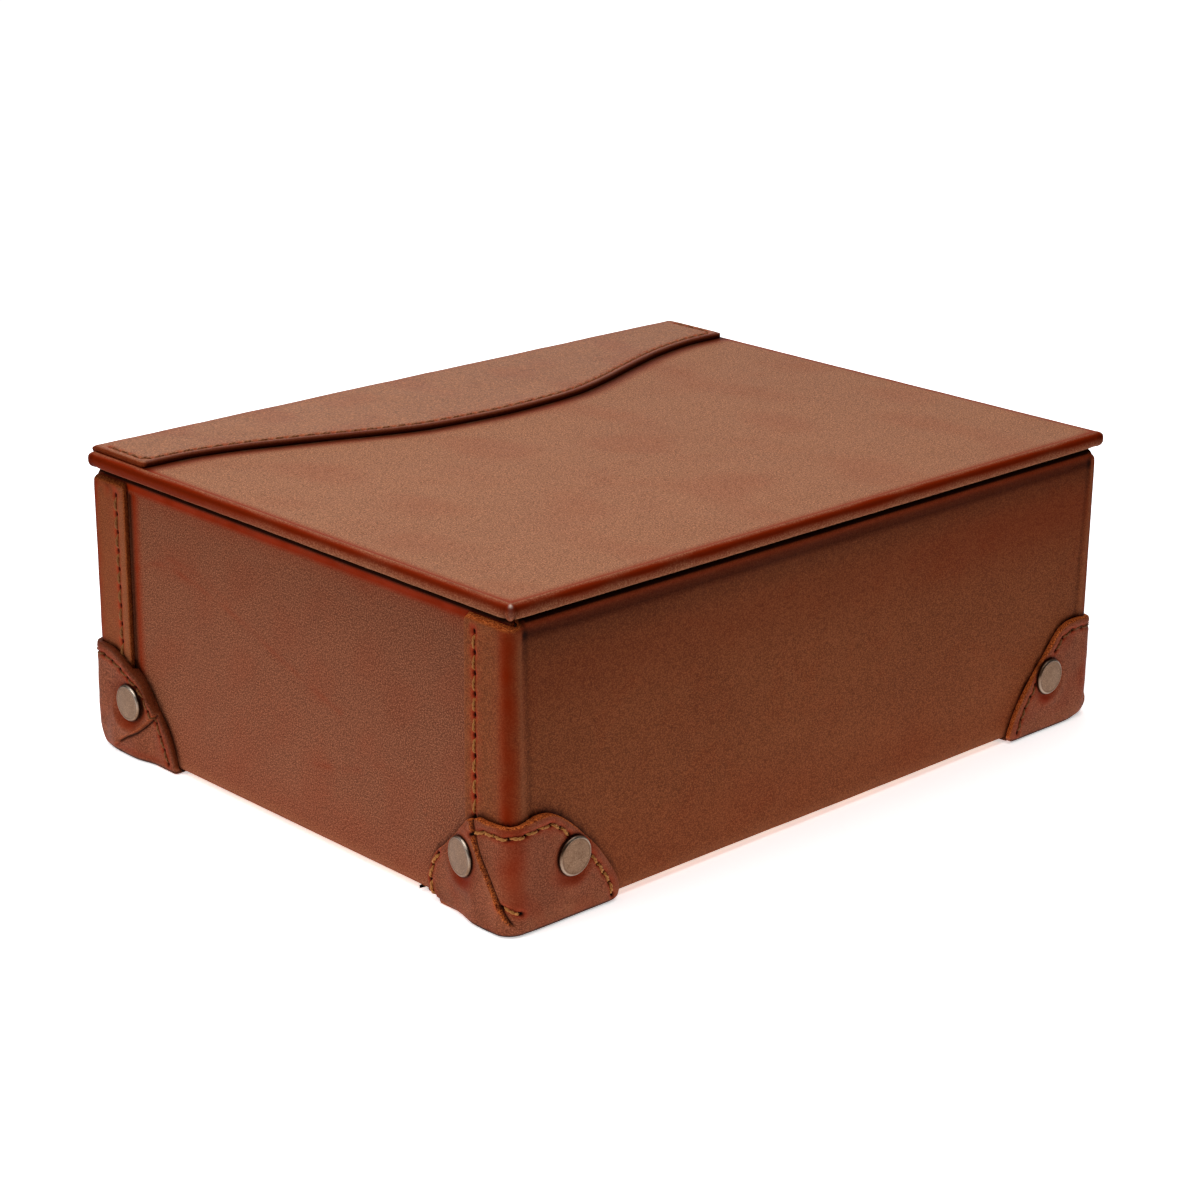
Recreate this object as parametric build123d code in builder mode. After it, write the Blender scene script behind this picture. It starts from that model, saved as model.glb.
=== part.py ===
# Leather-covered desk organizer box with a lift lid on a leather strap hinge.
#
# Rigid boards make a tray; leather panels cover it, the front and back panels
# wrap round the vertical corners and are stitched over the side panels.
# Four stitched leather corner guards are held by pairs of cap rivets and turn
# under the box, where they are its feet.  The lid is a covered board that
# swings on one wide leather strap.
#
# Millimetres.  X is the width, the front faces -Y, the hinge is at +Y, +Z is
# up.  The origin is on the surface the box rests on, in the middle of it.

from build123d import *
import os

os.makedirs("parts", exist_ok=True)

# ------------------------------------------------------------------ dimensions
BODY_W = 250.0        # over the wrapped side strips
BODY_D = 193.0        # over the front and back leather
WALL_TOP = 90.2       # leather fold on top of the walls
GUARD_T = 1.9         # corner guard leather, and so the foot height
SKIN_T = 1.8          # body leather
TOP_SKIN_T = 1.6      # body leather where it folds over the wall top
TURN_T = 1.0          # skived turn-in inside the box
TURN_Z = 76.0         # lower edge of the turn-in
STRIP_W = 18.8        # wrap of front/back leather onto the sides
STRIP_TOP = 87.8      # cut top of those wraps
CORNER_R = 3.6        # outer radius of the wrapped corners
BOARD_T = 4.0         # wall boards
BASE_T = 4.0          # base board
LINING_T = 1.0        # inner lining
PAD_T = 1.0           # black base pad
PAD_INSET = 1.2       # pad edge inside the leather faces

LID_GAP = 0.3         # under the closed lid
LID_T = 4.8           # covered lid thickness
LID_SKIN_T = 1.2      # lid leather, above and turned under
LID_OVER = 1.3        # lid past the body at the front and sides
LID_CORNER_R = 3.0
LID_EDGE_R = 2.3      # bullnose of the lid edge
LID_TURN_W = 13.0     # width of the lid leather turned under the board

STRAP_T = 1.9         # hinge leather
STRAP_W = 248.0       # along the hinge
STRAP_BACK_W = 241.0  # narrower where it goes down the back wall
STRAP_BACK_LEN = 28.0  # down the back wall, from the wall top
FLAP_END_Y = 69.0     # front edge of the flap at its ends
FLAP_MID_Y = 42.8     # and at its middle

CAP_R = 5.85          # rivet cap
CAP_T = 1.2
CAP_BEVEL = 0.45
POST_R = 1.5
POST_HOLE_R = 1.6
BACK_CAP_R = 4.5
BACK_CAP_T = 1.3
RIVET_Z = 18.7
RIVET_FRONT_S = 21.4  # from the corner, on the front and back faces
RIVET_SIDE_S = 18.4   # from the corner, on the side faces

GUARD_TOP = 34.0      # top of the guard at the corner
GUARD_LEG = 39.0      # reach of the guard along each face
FLAP_D = 1.9          # side flap lies on the front layer near the corner

THREAD_W = 0.8
THREAD_T = 0.45
STITCH_L = 4.7
SEAM_S = 14.4         # side seam from the corner plane
SEAM_PITCH = 5.9
SEAM_Z0 = 34.0        # lowest stitch centre
SEAM_N = 9

# ------------------------------------------------------------------- derived
HX, HY = BODY_W / 2, BODY_D / 2
Z0 = GUARD_T                            # underside of the covered box
BX, BY = HX - 2 * SKIN_T, HY - SKIN_T   # outer faces of the boards
IX, IY = BX - BOARD_T, BY - BOARD_T     # inner faces of the boards
BOARD_TOP = WALL_TOP - TOP_SKIN_T
FOLD_X = HX - SKIN_T - 0.3              # ends of the front and back folds
WALL_Z0 = Z0 + BASE_T
LID_Z0 = WALL_TOP + LID_GAP
LID_TOP = LID_Z0 + LID_T
LX = HX + LID_OVER
LY0, LY1 = -HY - LID_OVER, HY           # the lid is flush at the back
LID_BOARD_Z0 = LID_Z0 + LID_SKIN_T
LID_BOARD_T = LID_T - 2 * LID_SKIN_T
STRAP_TOP = LID_TOP + STRAP_T

# Planes of the four outer faces: x_dir runs along the face, z_dir points out.
FRONT = Plane(origin=(0, -HY, 0), x_dir=(1, 0, 0), z_dir=(0, -1, 0))
BACK = Plane(origin=(0, HY, 0), x_dir=(-1, 0, 0), z_dir=(0, 1, 0))
LEFT = Plane(origin=(-HX, 0, 0), x_dir=(0, -1, 0), z_dir=(-1, 0, 0))
RIGHT = Plane(origin=(HX, 0, 0), x_dir=(0, 1, 0), z_dir=(1, 0, 0))


def at(plane, u, v, out=0.0):
    """A copy of a face plane with its origin at (u, v), moved out of the face."""
    o = plane.origin + plane.x_dir * u + plane.y_dir * v + plane.z_dir * out
    return Plane(origin=o, x_dir=plane.x_dir, z_dir=plane.z_dir)


FU = HX - RIVET_FRONT_S
SU = HY - RIVET_SIDE_S
rivets_front = [at(FRONT, s * FU, RIVET_Z) for s in (-1, 1)]
rivets_back = [at(BACK, s * FU, RIVET_Z) for s in (-1, 1)]
rivets_left = [at(LEFT, s * SU, RIVET_Z) for s in (-1, 1)]
rivets_right = [at(RIGHT, s * SU, RIVET_Z) for s in (-1, 1)]
rivets_all = rivets_front + rivets_back + rivets_left + rivets_right

# --------------------------------------------------------------------- boards
with BuildPart() as base_board:
    with BuildSketch(Plane.XY.offset(Z0)):
        RectangleRounded(2 * BX, 2 * BY, 1.7)
    extrude(amount=BASE_T)
base_board.part.label = "base_board"


def wall_board(plane, half_u, back_to_inner, rivet_planes):
    """One wall board on its face plane, bored and recessed for two rivets."""
    with BuildPart() as wall:
        with BuildSketch(at(plane, 0, (WALL_Z0 + BOARD_TOP) / 2, -back_to_inner)):
            Rectangle(2 * half_u, BOARD_TOP - WALL_Z0)
        extrude(amount=BOARD_T)
        with BuildSketch(*[at(p, 0, 0, -back_to_inner) for p in rivet_planes]):
            Circle(POST_HOLE_R)
        extrude(amount=BOARD_T, mode=Mode.SUBTRACT)
        with BuildSketch(*[at(p, 0, 0, -back_to_inner) for p in rivet_planes]):
            Circle(BACK_CAP_R + 0.05)
        extrude(amount=BACK_CAP_T, mode=Mode.SUBTRACT)
    return wall


front_wall_board = wall_board(FRONT, BX, HY - IY, rivets_front)
back_wall_board = wall_board(BACK, BX, HY - IY, rivets_back)
left_wall_board = wall_board(LEFT, IY, HX - IX, rivets_left)
right_wall_board = wall_board(RIGHT, IY, HX - IX, rivets_right)
front_wall_board.part.label = "front_wall_board"
back_wall_board.part.label = "back_wall_board"
left_wall_board.part.label = "left_wall_board"
right_wall_board.part.label = "right_wall_board"

# ------------------------------------------------- front and back body leather
# U-shaped in plan, folded over the wall top and turned in.
with BuildPart() as front_leather:
    with BuildSketch(Plane.XY.offset(Z0)):
        RectangleRounded(BODY_W, BODY_D, CORNER_R)
        RectangleRounded(BODY_W - 2 * SKIN_T, BODY_D - 2 * SKIN_T,
                         CORNER_R - SKIN_T, mode=Mode.SUBTRACT)
        with Locations((0, STRIP_W)):
            Rectangle(BODY_W + 2, BODY_D, mode=Mode.SUBTRACT)
    extrude(amount=STRIP_TOP - Z0)
    # fold over the wall top, up to the inner face of the board
    with BuildSketch(Plane.YZ.offset(-FOLD_X)):
        with BuildLine():
            Polyline((-BY, STRIP_TOP), (-HY, STRIP_TOP), (-HY, WALL_TOP - SKIN_T))
            ThreePointArc((-HY, WALL_TOP - SKIN_T),
                          (-BY - SKIN_T * 0.70711, WALL_TOP - SKIN_T * 0.29289),
                          (-BY, WALL_TOP))
            Polyline((-BY, WALL_TOP), (-IY, WALL_TOP), (-IY, BOARD_TOP),
                     (-BY, BOARD_TOP), (-BY, STRIP_TOP))
        make_face()
    extrude(amount=2 * FOLD_X)
    # the ends of the fold fill down to the side leather
    with BuildSketch(Plane.XY.offset(STRIP_TOP)):
        with Locations((-(BX + FOLD_X) / 2, -(BY + IY) / 2), ((BX + FOLD_X) / 2, -(BY + IY) / 2)):
            Rectangle(FOLD_X - BX, BOARD_T)
    extrude(amount=BOARD_TOP - STRIP_TOP)
    # turn-in down the inner face
    with BuildSketch(Plane.YZ.offset(-IX)):
        with BuildLine():
            Polyline((-IY, WALL_TOP), (-IY, TURN_Z), (-IY + TURN_T, TURN_Z),
                     (-IY + TURN_T, WALL_TOP - TURN_T))
            ThreePointArc((-IY + TURN_T, WALL_TOP - TURN_T),
                          (-IY + TURN_T * 0.70711, WALL_TOP - TURN_T * 0.29289),
                          (-IY, WALL_TOP))
        make_face()
    extrude(amount=2 * IX)
    # rivet holes through the face, and the notches that the side rivets leave
    with BuildSketch(*[at(p, 0, 0, 1) for p in rivets_front]):
        Circle(POST_HOLE_R)
    extrude(amount=-(SKIN_T + 2), mode=Mode.SUBTRACT)
    with BuildSketch(*[at(p, 0, 0, 1) for p in (rivets_left[1], rivets_right[0])]):
        Circle(POST_HOLE_R)
    extrude(amount=-(SKIN_T + 1), mode=Mode.SUBTRACT)
front_leather.part.label = "front_leather"

with BuildPart() as back_leather:
    mirror(front_leather.part, about=Plane.XZ)
back_leather.part.label = "back_leather"

# ---------------------------------------------------------- side body leather
with BuildPart() as left_leather:
    with BuildSketch(Plane.XY.offset(Z0)):
        RectangleRounded(2 * (HX - SKIN_T), 2 * BY, CORNER_R - SKIN_T + 0.02)
        with Locations((SKIN_T, 0)):
            Rectangle(2 * (HX - SKIN_T), BODY_D, mode=Mode.SUBTRACT)
    extrude(amount=STRIP_TOP - Z0)
    with BuildSketch(Plane.XZ.offset(-IY)):
        with BuildLine():
            Polyline((-BX, STRIP_TOP), (-HX + SKIN_T, STRIP_TOP),
                     (-HX + SKIN_T, WALL_TOP - SKIN_T))
            ThreePointArc((-HX + SKIN_T, WALL_TOP - SKIN_T),
                          (-BX - SKIN_T * 0.70711, WALL_TOP - SKIN_T * 0.29289),
                          (-BX, WALL_TOP))
            Polyline((-BX, WALL_TOP), (-IX, WALL_TOP), (-IX, BOARD_TOP),
                     (-BX, BOARD_TOP), (-BX, STRIP_TOP))
        make_face()
    extrude(amount=2 * IY)
    with BuildSketch(Plane.XZ.offset(-(IY - TURN_T))):
        with BuildLine():
            Polyline((-IX, WALL_TOP), (-IX, TURN_Z), (-IX + TURN_T, TURN_Z),
                     (-IX + TURN_T, WALL_TOP - TURN_T))
            ThreePointArc((-IX + TURN_T, WALL_TOP - TURN_T),
                          (-IX + TURN_T * 0.70711, WALL_TOP - TURN_T * 0.29289),
                          (-IX, WALL_TOP))
        make_face()
    extrude(amount=2 * (IY - TURN_T))
    with BuildSketch(*rivets_left):
        Circle(POST_HOLE_R)
    extrude(amount=-(2 * SKIN_T + 0.2), mode=Mode.SUBTRACT)
left_leather.part.label = "left_leather"

with BuildPart() as right_leather:
    mirror(left_leather.part, about=Plane.YZ)
right_leather.part.label = "right_leather"

# --------------------------------------------------------------------- lining
with BuildPart() as base_lining:
    with BuildSketch(Plane.XY.offset(WALL_Z0)):
        Rectangle(2 * (IX - LINING_T), 2 * (IY - LINING_T))
    extrude(amount=LINING_T)
base_lining.part.label = "base_lining"

with BuildPart() as front_lining:
    with BuildSketch(Plane.XY.offset(WALL_Z0)):
        with Locations((0, -(IY - LINING_T / 2))):
            Rectangle(2 * IX, LINING_T)
    extrude(amount=TURN_Z - WALL_Z0)
front_lining.part.label = "front_lining"

with BuildPart() as back_lining:
    mirror(front_lining.part, about=Plane.XZ)
back_lining.part.label = "back_lining"

with BuildPart() as left_lining:
    with BuildSketch(Plane.XY.offset(WALL_Z0)):
        with Locations((-(IX - LINING_T / 2), 0)):
            Rectangle(LINING_T, 2 * (IY - LINING_T))
    extrude(amount=TURN_Z - WALL_Z0)
left_lining.part.label = "left_lining"

with BuildPart() as right_lining:
    mirror(left_lining.part, about=Plane.YZ)
right_lining.part.label = "right_lining"

# ------------------------------------------------------------------- base pad
with BuildPart() as base_pad:
    with BuildSketch(Plane.XY.offset(Z0 - PAD_T)):
        Rectangle(BODY_W - 2 * PAD_INSET, BODY_D - 2 * PAD_INSET)
        with Locations(*[(sx * HX, sy * HY) for sx in (-1, 1) for sy in (-1, 1)]):
            Circle(GUARD_LEG + 0.5, mode=Mode.SUBTRACT)
    extrude(amount=PAD_T)
base_pad.part.label = "base_pad"

# -------------------------------------------------------------- corner guards
# Front layer: a leg on the front face that wraps a little way round the corner.
with BuildPart() as guard_layer:
    with BuildSketch():
        RectangleRounded(BODY_W + 2 * GUARD_T, BODY_D + 2 * GUARD_T, CORNER_R + GUARD_T)
        RectangleRounded(BODY_W, BODY_D, CORNER_R, mode=Mode.SUBTRACT)
        with Locations((-HX - GUARD_T + (GUARD_T + GUARD_LEG) / 2,
                        -HY - GUARD_T + (GUARD_T + 12.0) / 2)):
            Rectangle(GUARD_T + GUARD_LEG, GUARD_T + 12.0, mode=Mode.INTERSECT)
    extrude(amount=GUARD_TOP + 1)
    with BuildSketch(Plane.XZ.offset(HY + 10)):
        with BuildLine():
            top = Line((-HX - 5, GUARD_TOP - 0.6), (-HX + 6.0, GUARD_TOP - 0.6))
            crown = Spline(top @ 1, (-HX + 14.0, GUARD_TOP), (-HX + 23.5, 26.0),
                           (-HX + 31.0, 17.5), (-HX + 38.5, 3.0), tangents=[(1, 0.15), (0.35, -1)])
            Polyline(crown @ 1, (-HX + GUARD_LEG, 0), (-HX - 5, 0), top @ 0)
        make_face()
    extrude(amount=-30, mode=Mode.INTERSECT)

# Side flap: comes up from below and laps over the front layer.
with BuildPart() as guard_flap:
    with BuildSketch():
        with BuildLine():
            y = -HY
            Polyline((-HX, y + 2.2), (-HX - GUARD_T, y + 2.6), (-HX - 2 * GUARD_T, y + 4.2),
                     (-HX - 2 * GUARD_T, y + 9.0), (-HX - GUARD_T, y + 12.5), (-HX - GUARD_T, y + 24.5),
                     (-HX + SKIN_T - GUARD_T, y + 29.0), (-HX + SKIN_T - GUARD_T, y + GUARD_LEG),
                     (-HX + SKIN_T, y + GUARD_LEG), (-HX + SKIN_T, y + STRIP_W),
                     (-HX, y + STRIP_W), (-HX, y + 2.2))
        make_face()
    extrude(amount=GUARD_TOP)
    with BuildSketch(Plane.YZ.offset(-HX - 10)):
        with BuildLine():
            apex = Line((-HY + 1.5, 5.0), (-HY + 13.0, 29.5))
            brow = Spline(apex @ 1, (-HY + 17.0, 30.6), (-HY + 23.5, 26.5), (-HY + 30.0, 17.5),
                          (-HY + 36.5, 3.0), tangents=[(0.5, 1), (0.35, -1)])
            Polyline(brow @ 1, (-HY + 37.0, 0), (-HY, 0), (-HY, 3.0), apex @ 0)
        make_face()
    extrude(amount=30, mode=Mode.INTERSECT)

with BuildPart() as corner_guard_front_left:
    add(guard_layer.part)
    add(guard_flap.part)
    # the part turned under the box, which is the foot
    with BuildSketch():
        with Locations((-HX, -HY)):
            Circle(GUARD_LEG)
        RectangleRounded(BODY_W, BODY_D, CORNER_R, mode=Mode.INTERSECT)
    extrude(amount=GUARD_T)
    with BuildSketch(at(rivets_front[0], 0, 0, 3)):
        Circle(POST_HOLE_R)
    extrude(amount=-5, mode=Mode.SUBTRACT)
    with BuildSketch(at(rivets_left[1], 0, 0, 3)):
        Circle(POST_HOLE_R)
    extrude(amount=-6, mode=Mode.SUBTRACT)
corner_guard_front_left.part.label = "corner_guard_front_left"

with BuildPart() as corner_guard_front_right:
    mirror(corner_guard_front_left.part, about=Plane.YZ)
corner_guard_front_right.part.label = "corner_guard_front_right"
with BuildPart() as corner_guard_back_left:
    mirror(corner_guard_front_left.part, about=Plane.XZ)
corner_guard_back_left.part.label = "corner_guard_back_left"
with BuildPart() as corner_guard_back_right:
    mirror(corner_guard_front_right.part, about=Plane.XZ)
corner_guard_back_right.part.label = "corner_guard_back_right"

# --------------------------------------------------------------------- rivets
cap_planes = [at(p, 0, 0, GUARD_T) for p in rivets_all]
post_len = {}
with BuildPart() as rivets:
    with BuildSketch(*cap_planes):
        Circle(CAP_R)
    extrude(amount=CAP_T)
    rims = [e for f in rivets.faces().filter_by(GeomType.PLANE) for e in f.edges()
            if any(abs((f.center() - p.origin).dot(p.z_dir) - CAP_T) < 1e-3
                   and (f.center() - p.origin).length < 2 * CAP_R for p in cap_planes)]
    chamfer(rims, length=CAP_BEVEL)
    # posts, as long as the layers that they hold
    with BuildSketch(*cap_planes[:4]):
        Circle(POST_R)
    extrude(amount=-(GUARD_T + (HY - IY) - 0.6))
    with BuildSketch(*cap_planes[4:]):
        Circle(POST_R)
    extrude(amount=-(GUARD_T + (HX - IX) - 0.6))
rivets.part.label = "rivets"

with BuildPart() as rivet_back_caps:
    with BuildSketch(*[at(p, 0, 0, -(HY - IY)) for p in rivets_front + rivets_back]):
        Circle(BACK_CAP_R)
    extrude(amount=BACK_CAP_T)
    with BuildSketch(*[at(p, 0, 0, -(HX - IX)) for p in rivets_left + rivets_right]):
        Circle(BACK_CAP_R)
    extrude(amount=BACK_CAP_T)
    with BuildSketch(*[at(p, 0, 0, -(HY - IY) + BACK_CAP_T) for p in rivets_front + rivets_back]):
        Circle(POST_R + 0.05)
    extrude(amount=-(BACK_CAP_T - 0.55), mode=Mode.SUBTRACT)
    with BuildSketch(*[at(p, 0, 0, -(HX - IX) + BACK_CAP_T) for p in rivets_left + rivets_right]):
        Circle(POST_R + 0.05)
    extrude(amount=-(BACK_CAP_T - 0.55), mode=Mode.SUBTRACT)
rivet_back_caps.part.label = "rivet_back_caps"

# ------------------------------------------------------------------------ lid
LID_CY = (LY0 + LY1) / 2
LID_D = LY1 - LY0
with BuildPart() as lid_board:
    with BuildSketch(Plane.XY.offset(LID_BOARD_Z0)):
        with Locations((0, LID_CY)):
            RectangleRounded(2 * (LX - LID_SKIN_T), LID_D - 2 * LID_SKIN_T,
                             LID_CORNER_R - LID_SKIN_T)
    extrude(amount=LID_BOARD_T)
    fillet(lid_board.edges().group_by(Axis.Z)[0] + lid_board.edges().group_by(Axis.Z)[-1],
           radius=LID_EDGE_R - LID_SKIN_T)
lid_board.part.label = "lid_board"

with BuildPart() as lid_leather:
    with BuildSketch(Plane.XY.offset(LID_Z0)):
        with Locations((0, LID_CY)):
            RectangleRounded(2 * LX, LID_D, LID_CORNER_R)
    extrude(amount=LID_T)
    fillet(lid_leather.edges().group_by(Axis.Z)[0] + lid_leather.edges().group_by(Axis.Z)[-1],
           radius=LID_EDGE_R)
    add(lid_board.part, mode=Mode.SUBTRACT)
    # inside the turned-under border the board is open to its own lining
    with BuildSketch(Plane.XY.offset(LID_Z0)):
        with Locations((0, LID_CY)):
            Rectangle(2 * (LX - LID_TURN_W), LID_D - 2 * LID_TURN_W)
    extrude(amount=LID_SKIN_T, mode=Mode.SUBTRACT)
lid_leather.part.label = "lid_leather"

with BuildPart() as lid_lining:
    with BuildSketch(Plane.XY.offset(LID_BOARD_Z0)):
        with Locations((0, LID_CY)):
            Rectangle(2 * (LX - LID_TURN_W) - 0.4, LID_D - 2 * LID_TURN_W - 0.4)
    extrude(amount=-LINING_T)
lid_lining.part.label = "lid_lining"

# -------------------------------------------------------------- hinge leather
# One strap: a shaped flap on the lid, round the lid's back edge and down the
# outside of the back wall.
FLAT_Y = LY1 - LID_EDGE_R
wave = [(0.0, FLAP_MID_Y), (16.0, FLAP_MID_Y + 0.8), (33.0, 46.0), (51.0, 51.8), (62.0, 56.0),
        (77.0, 61.8), (90.0, 65.6), (108.0, 68.4), (STRAP_W / 2, FLAP_END_Y)]
wave_pts = [(-x, y) for x, y in reversed(wave[1:])] + wave
with BuildPart() as hinge_leather:
    with BuildSketch(Plane.XY.offset(LID_TOP)):
        with BuildLine():
            edge = Spline(*wave_pts)
            Polyline(edge @ 1, (STRAP_W / 2, FLAT_Y), (-STRAP_W / 2, FLAT_Y), edge @ 0)
        make_face()
    extrude(amount=STRAP_T)
    with BuildSketch(Plane.YZ.offset(-STRAP_W / 2)):
        with BuildLine():
            r0, r1 = LID_EDGE_R, LID_EDGE_R + STRAP_T
            c = (FLAT_Y, LID_TOP - LID_EDGE_R)
            k = 0.70710678
            ThreePointArc((c[0], c[1] + r1), (c[0] + r1 * k, c[1] + r1 * k), (c[0] + r1, c[1]))
            Polyline((c[0] + r1, c[1]), (c[0] + r1, WALL_TOP - STRAP_BACK_LEN),
                     (c[0] + r0, WALL_TOP - STRAP_BACK_LEN), (c[0] + r0, c[1]))
            ThreePointArc((c[0] + r0, c[1]), (c[0] + r0 * k, c[1] + r0 * k), (c[0], c[1] + r0))
            Line((c[0], c[1] + r0), (c[0], c[1] + r1))
        make_face()
    extrude(amount=STRAP_W)
    # below the roll the strap is cut back at both ends
    with BuildSketch(Plane.XY.offset(LID_TOP - 0.3)):
        for s in (-1, 1):
            with Locations((s * (STRAP_BACK_W / 2 + 5), FLAT_Y + 5)):
                Rectangle(10, 10)
    extrude(amount=-40, mode=Mode.SUBTRACT)
hinge_leather.part.label = "hinge_leather"


# -------------------------------------------------------------------- threads
def stitch_planes(points, face_plane, out, pitch):
    """Planes on a face, one for each stitch along a polyline of (u, v) points."""
    planes = []
    segs = list(zip(points[:-1], points[1:]))
    lens = [((b[0] - a[0]) ** 2 + (b[1] - a[1]) ** 2) ** 0.5 for a, b in segs]
    total = sum(lens)
    n = max(1, int(total / pitch))
    for i in range(n):
        d = (i + 0.5) * total / n
        for (a, b), length in zip(segs, lens):
            if d <= length:
                t = d / length
                u, v = a[0] + (b[0] - a[0]) * t, a[1] + (b[1] - a[1]) * t
                du, dv = (b[0] - a[0]) / length, (b[1] - a[1]) / length
                p = at(face_plane, u, v, out)
                x = face_plane.x_dir * du + face_plane.y_dir * dv
                planes.append(Plane(origin=p.origin, x_dir=x, z_dir=face_plane.z_dir))
                break
            d -= length
    return planes


side_seams = []
for face, su in ((LEFT, 1), (LEFT, -1), (RIGHT, 1), (RIGHT, -1)):
    u = su * (HY - SEAM_S)
    z_top = SEAM_Z0 + (SEAM_N - 0.5) * SEAM_PITCH
    side_seams += stitch_planes([(u, SEAM_Z0 - SEAM_PITCH / 2), (u, z_top)], face, 0.0, SEAM_PITCH - 0.01)
with BuildPart() as side_seam_threads:
    with BuildSketch(*side_seams):
        SlotOverall(STITCH_L, THREAD_W)
    extrude(amount=THREAD_T)
side_seam_threads.part.label = "side_seam_threads"

# guard stitches: along the top of the front leg, and down the outer edge of both
guard_rows = []
for face, su in ((FRONT, -1), (FRONT, 1), (BACK, 1), (BACK, -1)):
    pts = [(su * (HX - s), z) for s, z in ((6.0, 30.4), (13.5, 31.0), (17.5, 28.2))]
    guard_rows += stitch_planes(pts, face, GUARD_T, 4.4)
    pts = [(su * (HX - s), z) for s, z in ((29.2, 16.0), (32.6, 10.5), (35.6, 3.6))]
    guard_rows += stitch_planes(pts, face, GUARD_T, 4.4)
for face, su in ((LEFT, 1), (LEFT, -1), (RIGHT, 1), (RIGHT, -1)):
    pts = [(su * (HY - s), z) for s, z in ((29.8, 13.4), (31.6, 10.0), (33.9, 3.6))]
    guard_rows += stitch_planes(pts, face, GUARD_T - SKIN_T, 4.4)
with BuildPart() as guard_threads:
    with BuildSketch(*guard_rows):
        SlotOverall(3.5, THREAD_W)
    extrude(amount=THREAD_T)
guard_threads.part.label = "guard_threads"

# flap stitches on the lid, inside the shaped edge and the two ends
INSET = 2.6
row = [(x, y + INSET) for x, y in wave_pts[1:-1]]
ends = STRAP_W / 2 - INSET
row = [(-ends, FLAT_Y - 2), (-ends, FLAP_END_Y + INSET)] + row + [(ends, FLAP_END_Y + INSET), (ends, FLAT_Y - 2)]
TOP_FACE = Plane(origin=(0, 0, STRAP_TOP), x_dir=(1, 0, 0), z_dir=(0, 0, 1))
with BuildPart() as flap_threads:
    with BuildSketch(*stitch_planes(row, TOP_FACE, 0.0, 5.0)):
        SlotOverall(3.7, THREAD_W)
    extrude(amount=THREAD_T)
flap_threads.part.label = "flap_threads"

zb = WALL_TOP - STRAP_BACK_LEN + INSET
ends = STRAP_BACK_W / 2 - INSET
row = [(-ends, WALL_TOP - 6), (-ends, zb), (ends, zb), (ends, WALL_TOP - 6)]
with BuildPart() as hinge_back_threads:
    with BuildSketch(*stitch_planes(row, BACK, STRAP_T, 5.0)):
        SlotOverall(3.7, THREAD_W)
    extrude(amount=THREAD_T)
hinge_back_threads.part.label = "hinge_back_threads"

# ---------------------------------------------------------------------- write
for piece in (base_board, front_wall_board, back_wall_board, left_wall_board,
              right_wall_board, front_leather, back_leather, left_leather,
              right_leather, base_lining, front_lining, back_lining, left_lining,
              right_lining, base_pad, corner_guard_front_left,
              corner_guard_front_right, corner_guard_back_left,
              corner_guard_back_right, rivets, rivet_back_caps, lid_board,
              lid_leather, lid_lining, hinge_leather, side_seam_threads,
              guard_threads, flap_threads, hinge_back_threads):
    export_step(piece.part, "parts/" + piece.part.label + ".step")
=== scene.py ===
import math

import bpy
import numpy as np
from mathutils import Matrix, Vector
from mathutils.geometry import delaunay_2d_cdt


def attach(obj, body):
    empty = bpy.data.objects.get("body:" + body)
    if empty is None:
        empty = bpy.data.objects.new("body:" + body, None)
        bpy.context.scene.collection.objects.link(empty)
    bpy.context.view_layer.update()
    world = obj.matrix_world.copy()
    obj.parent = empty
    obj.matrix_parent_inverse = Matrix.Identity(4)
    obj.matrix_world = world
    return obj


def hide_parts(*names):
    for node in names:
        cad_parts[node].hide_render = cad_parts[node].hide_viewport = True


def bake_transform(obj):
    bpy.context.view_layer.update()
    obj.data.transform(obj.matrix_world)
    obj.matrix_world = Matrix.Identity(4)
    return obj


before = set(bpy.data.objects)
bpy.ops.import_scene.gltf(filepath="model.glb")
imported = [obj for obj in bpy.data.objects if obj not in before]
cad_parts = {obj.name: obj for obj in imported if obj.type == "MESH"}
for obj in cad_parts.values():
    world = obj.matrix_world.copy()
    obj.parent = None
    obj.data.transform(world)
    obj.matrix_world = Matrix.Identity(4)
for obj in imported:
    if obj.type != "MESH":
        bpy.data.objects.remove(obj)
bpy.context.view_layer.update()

# Everything below is worked out in millimetres in the row frame and written to
# the meshes in metres.
MM = 0.001
SCENE = bpy.context.scene


# ------------------------------------------------------------------ small maths
def sstep(x, a, b):
    t = np.clip((np.asarray(x, float) - a) / (b - a), 0, 1)
    return t * t * (3 - 2 * t)


def bell(x, c, w):
    return np.exp(-(((np.asarray(x, float) - c) / w) ** 2))


def waves(a, b, size, seed, n=9):
    """Smooth seeded unevenness of about +-1, with features of about size mm."""
    r = np.random.default_rng(seed)
    out = np.zeros_like(np.asarray(a, float))
    for _ in range(n):
        th, ph = r.uniform(0, 2 * np.pi, 2)
        k = 2 * np.pi / (size * r.uniform(0.6, 1.7))
        out += np.sin(k * (a * np.cos(th) + b * np.sin(th)) + ph)
    return out / math.sqrt(n / 2) / 1.5


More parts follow.
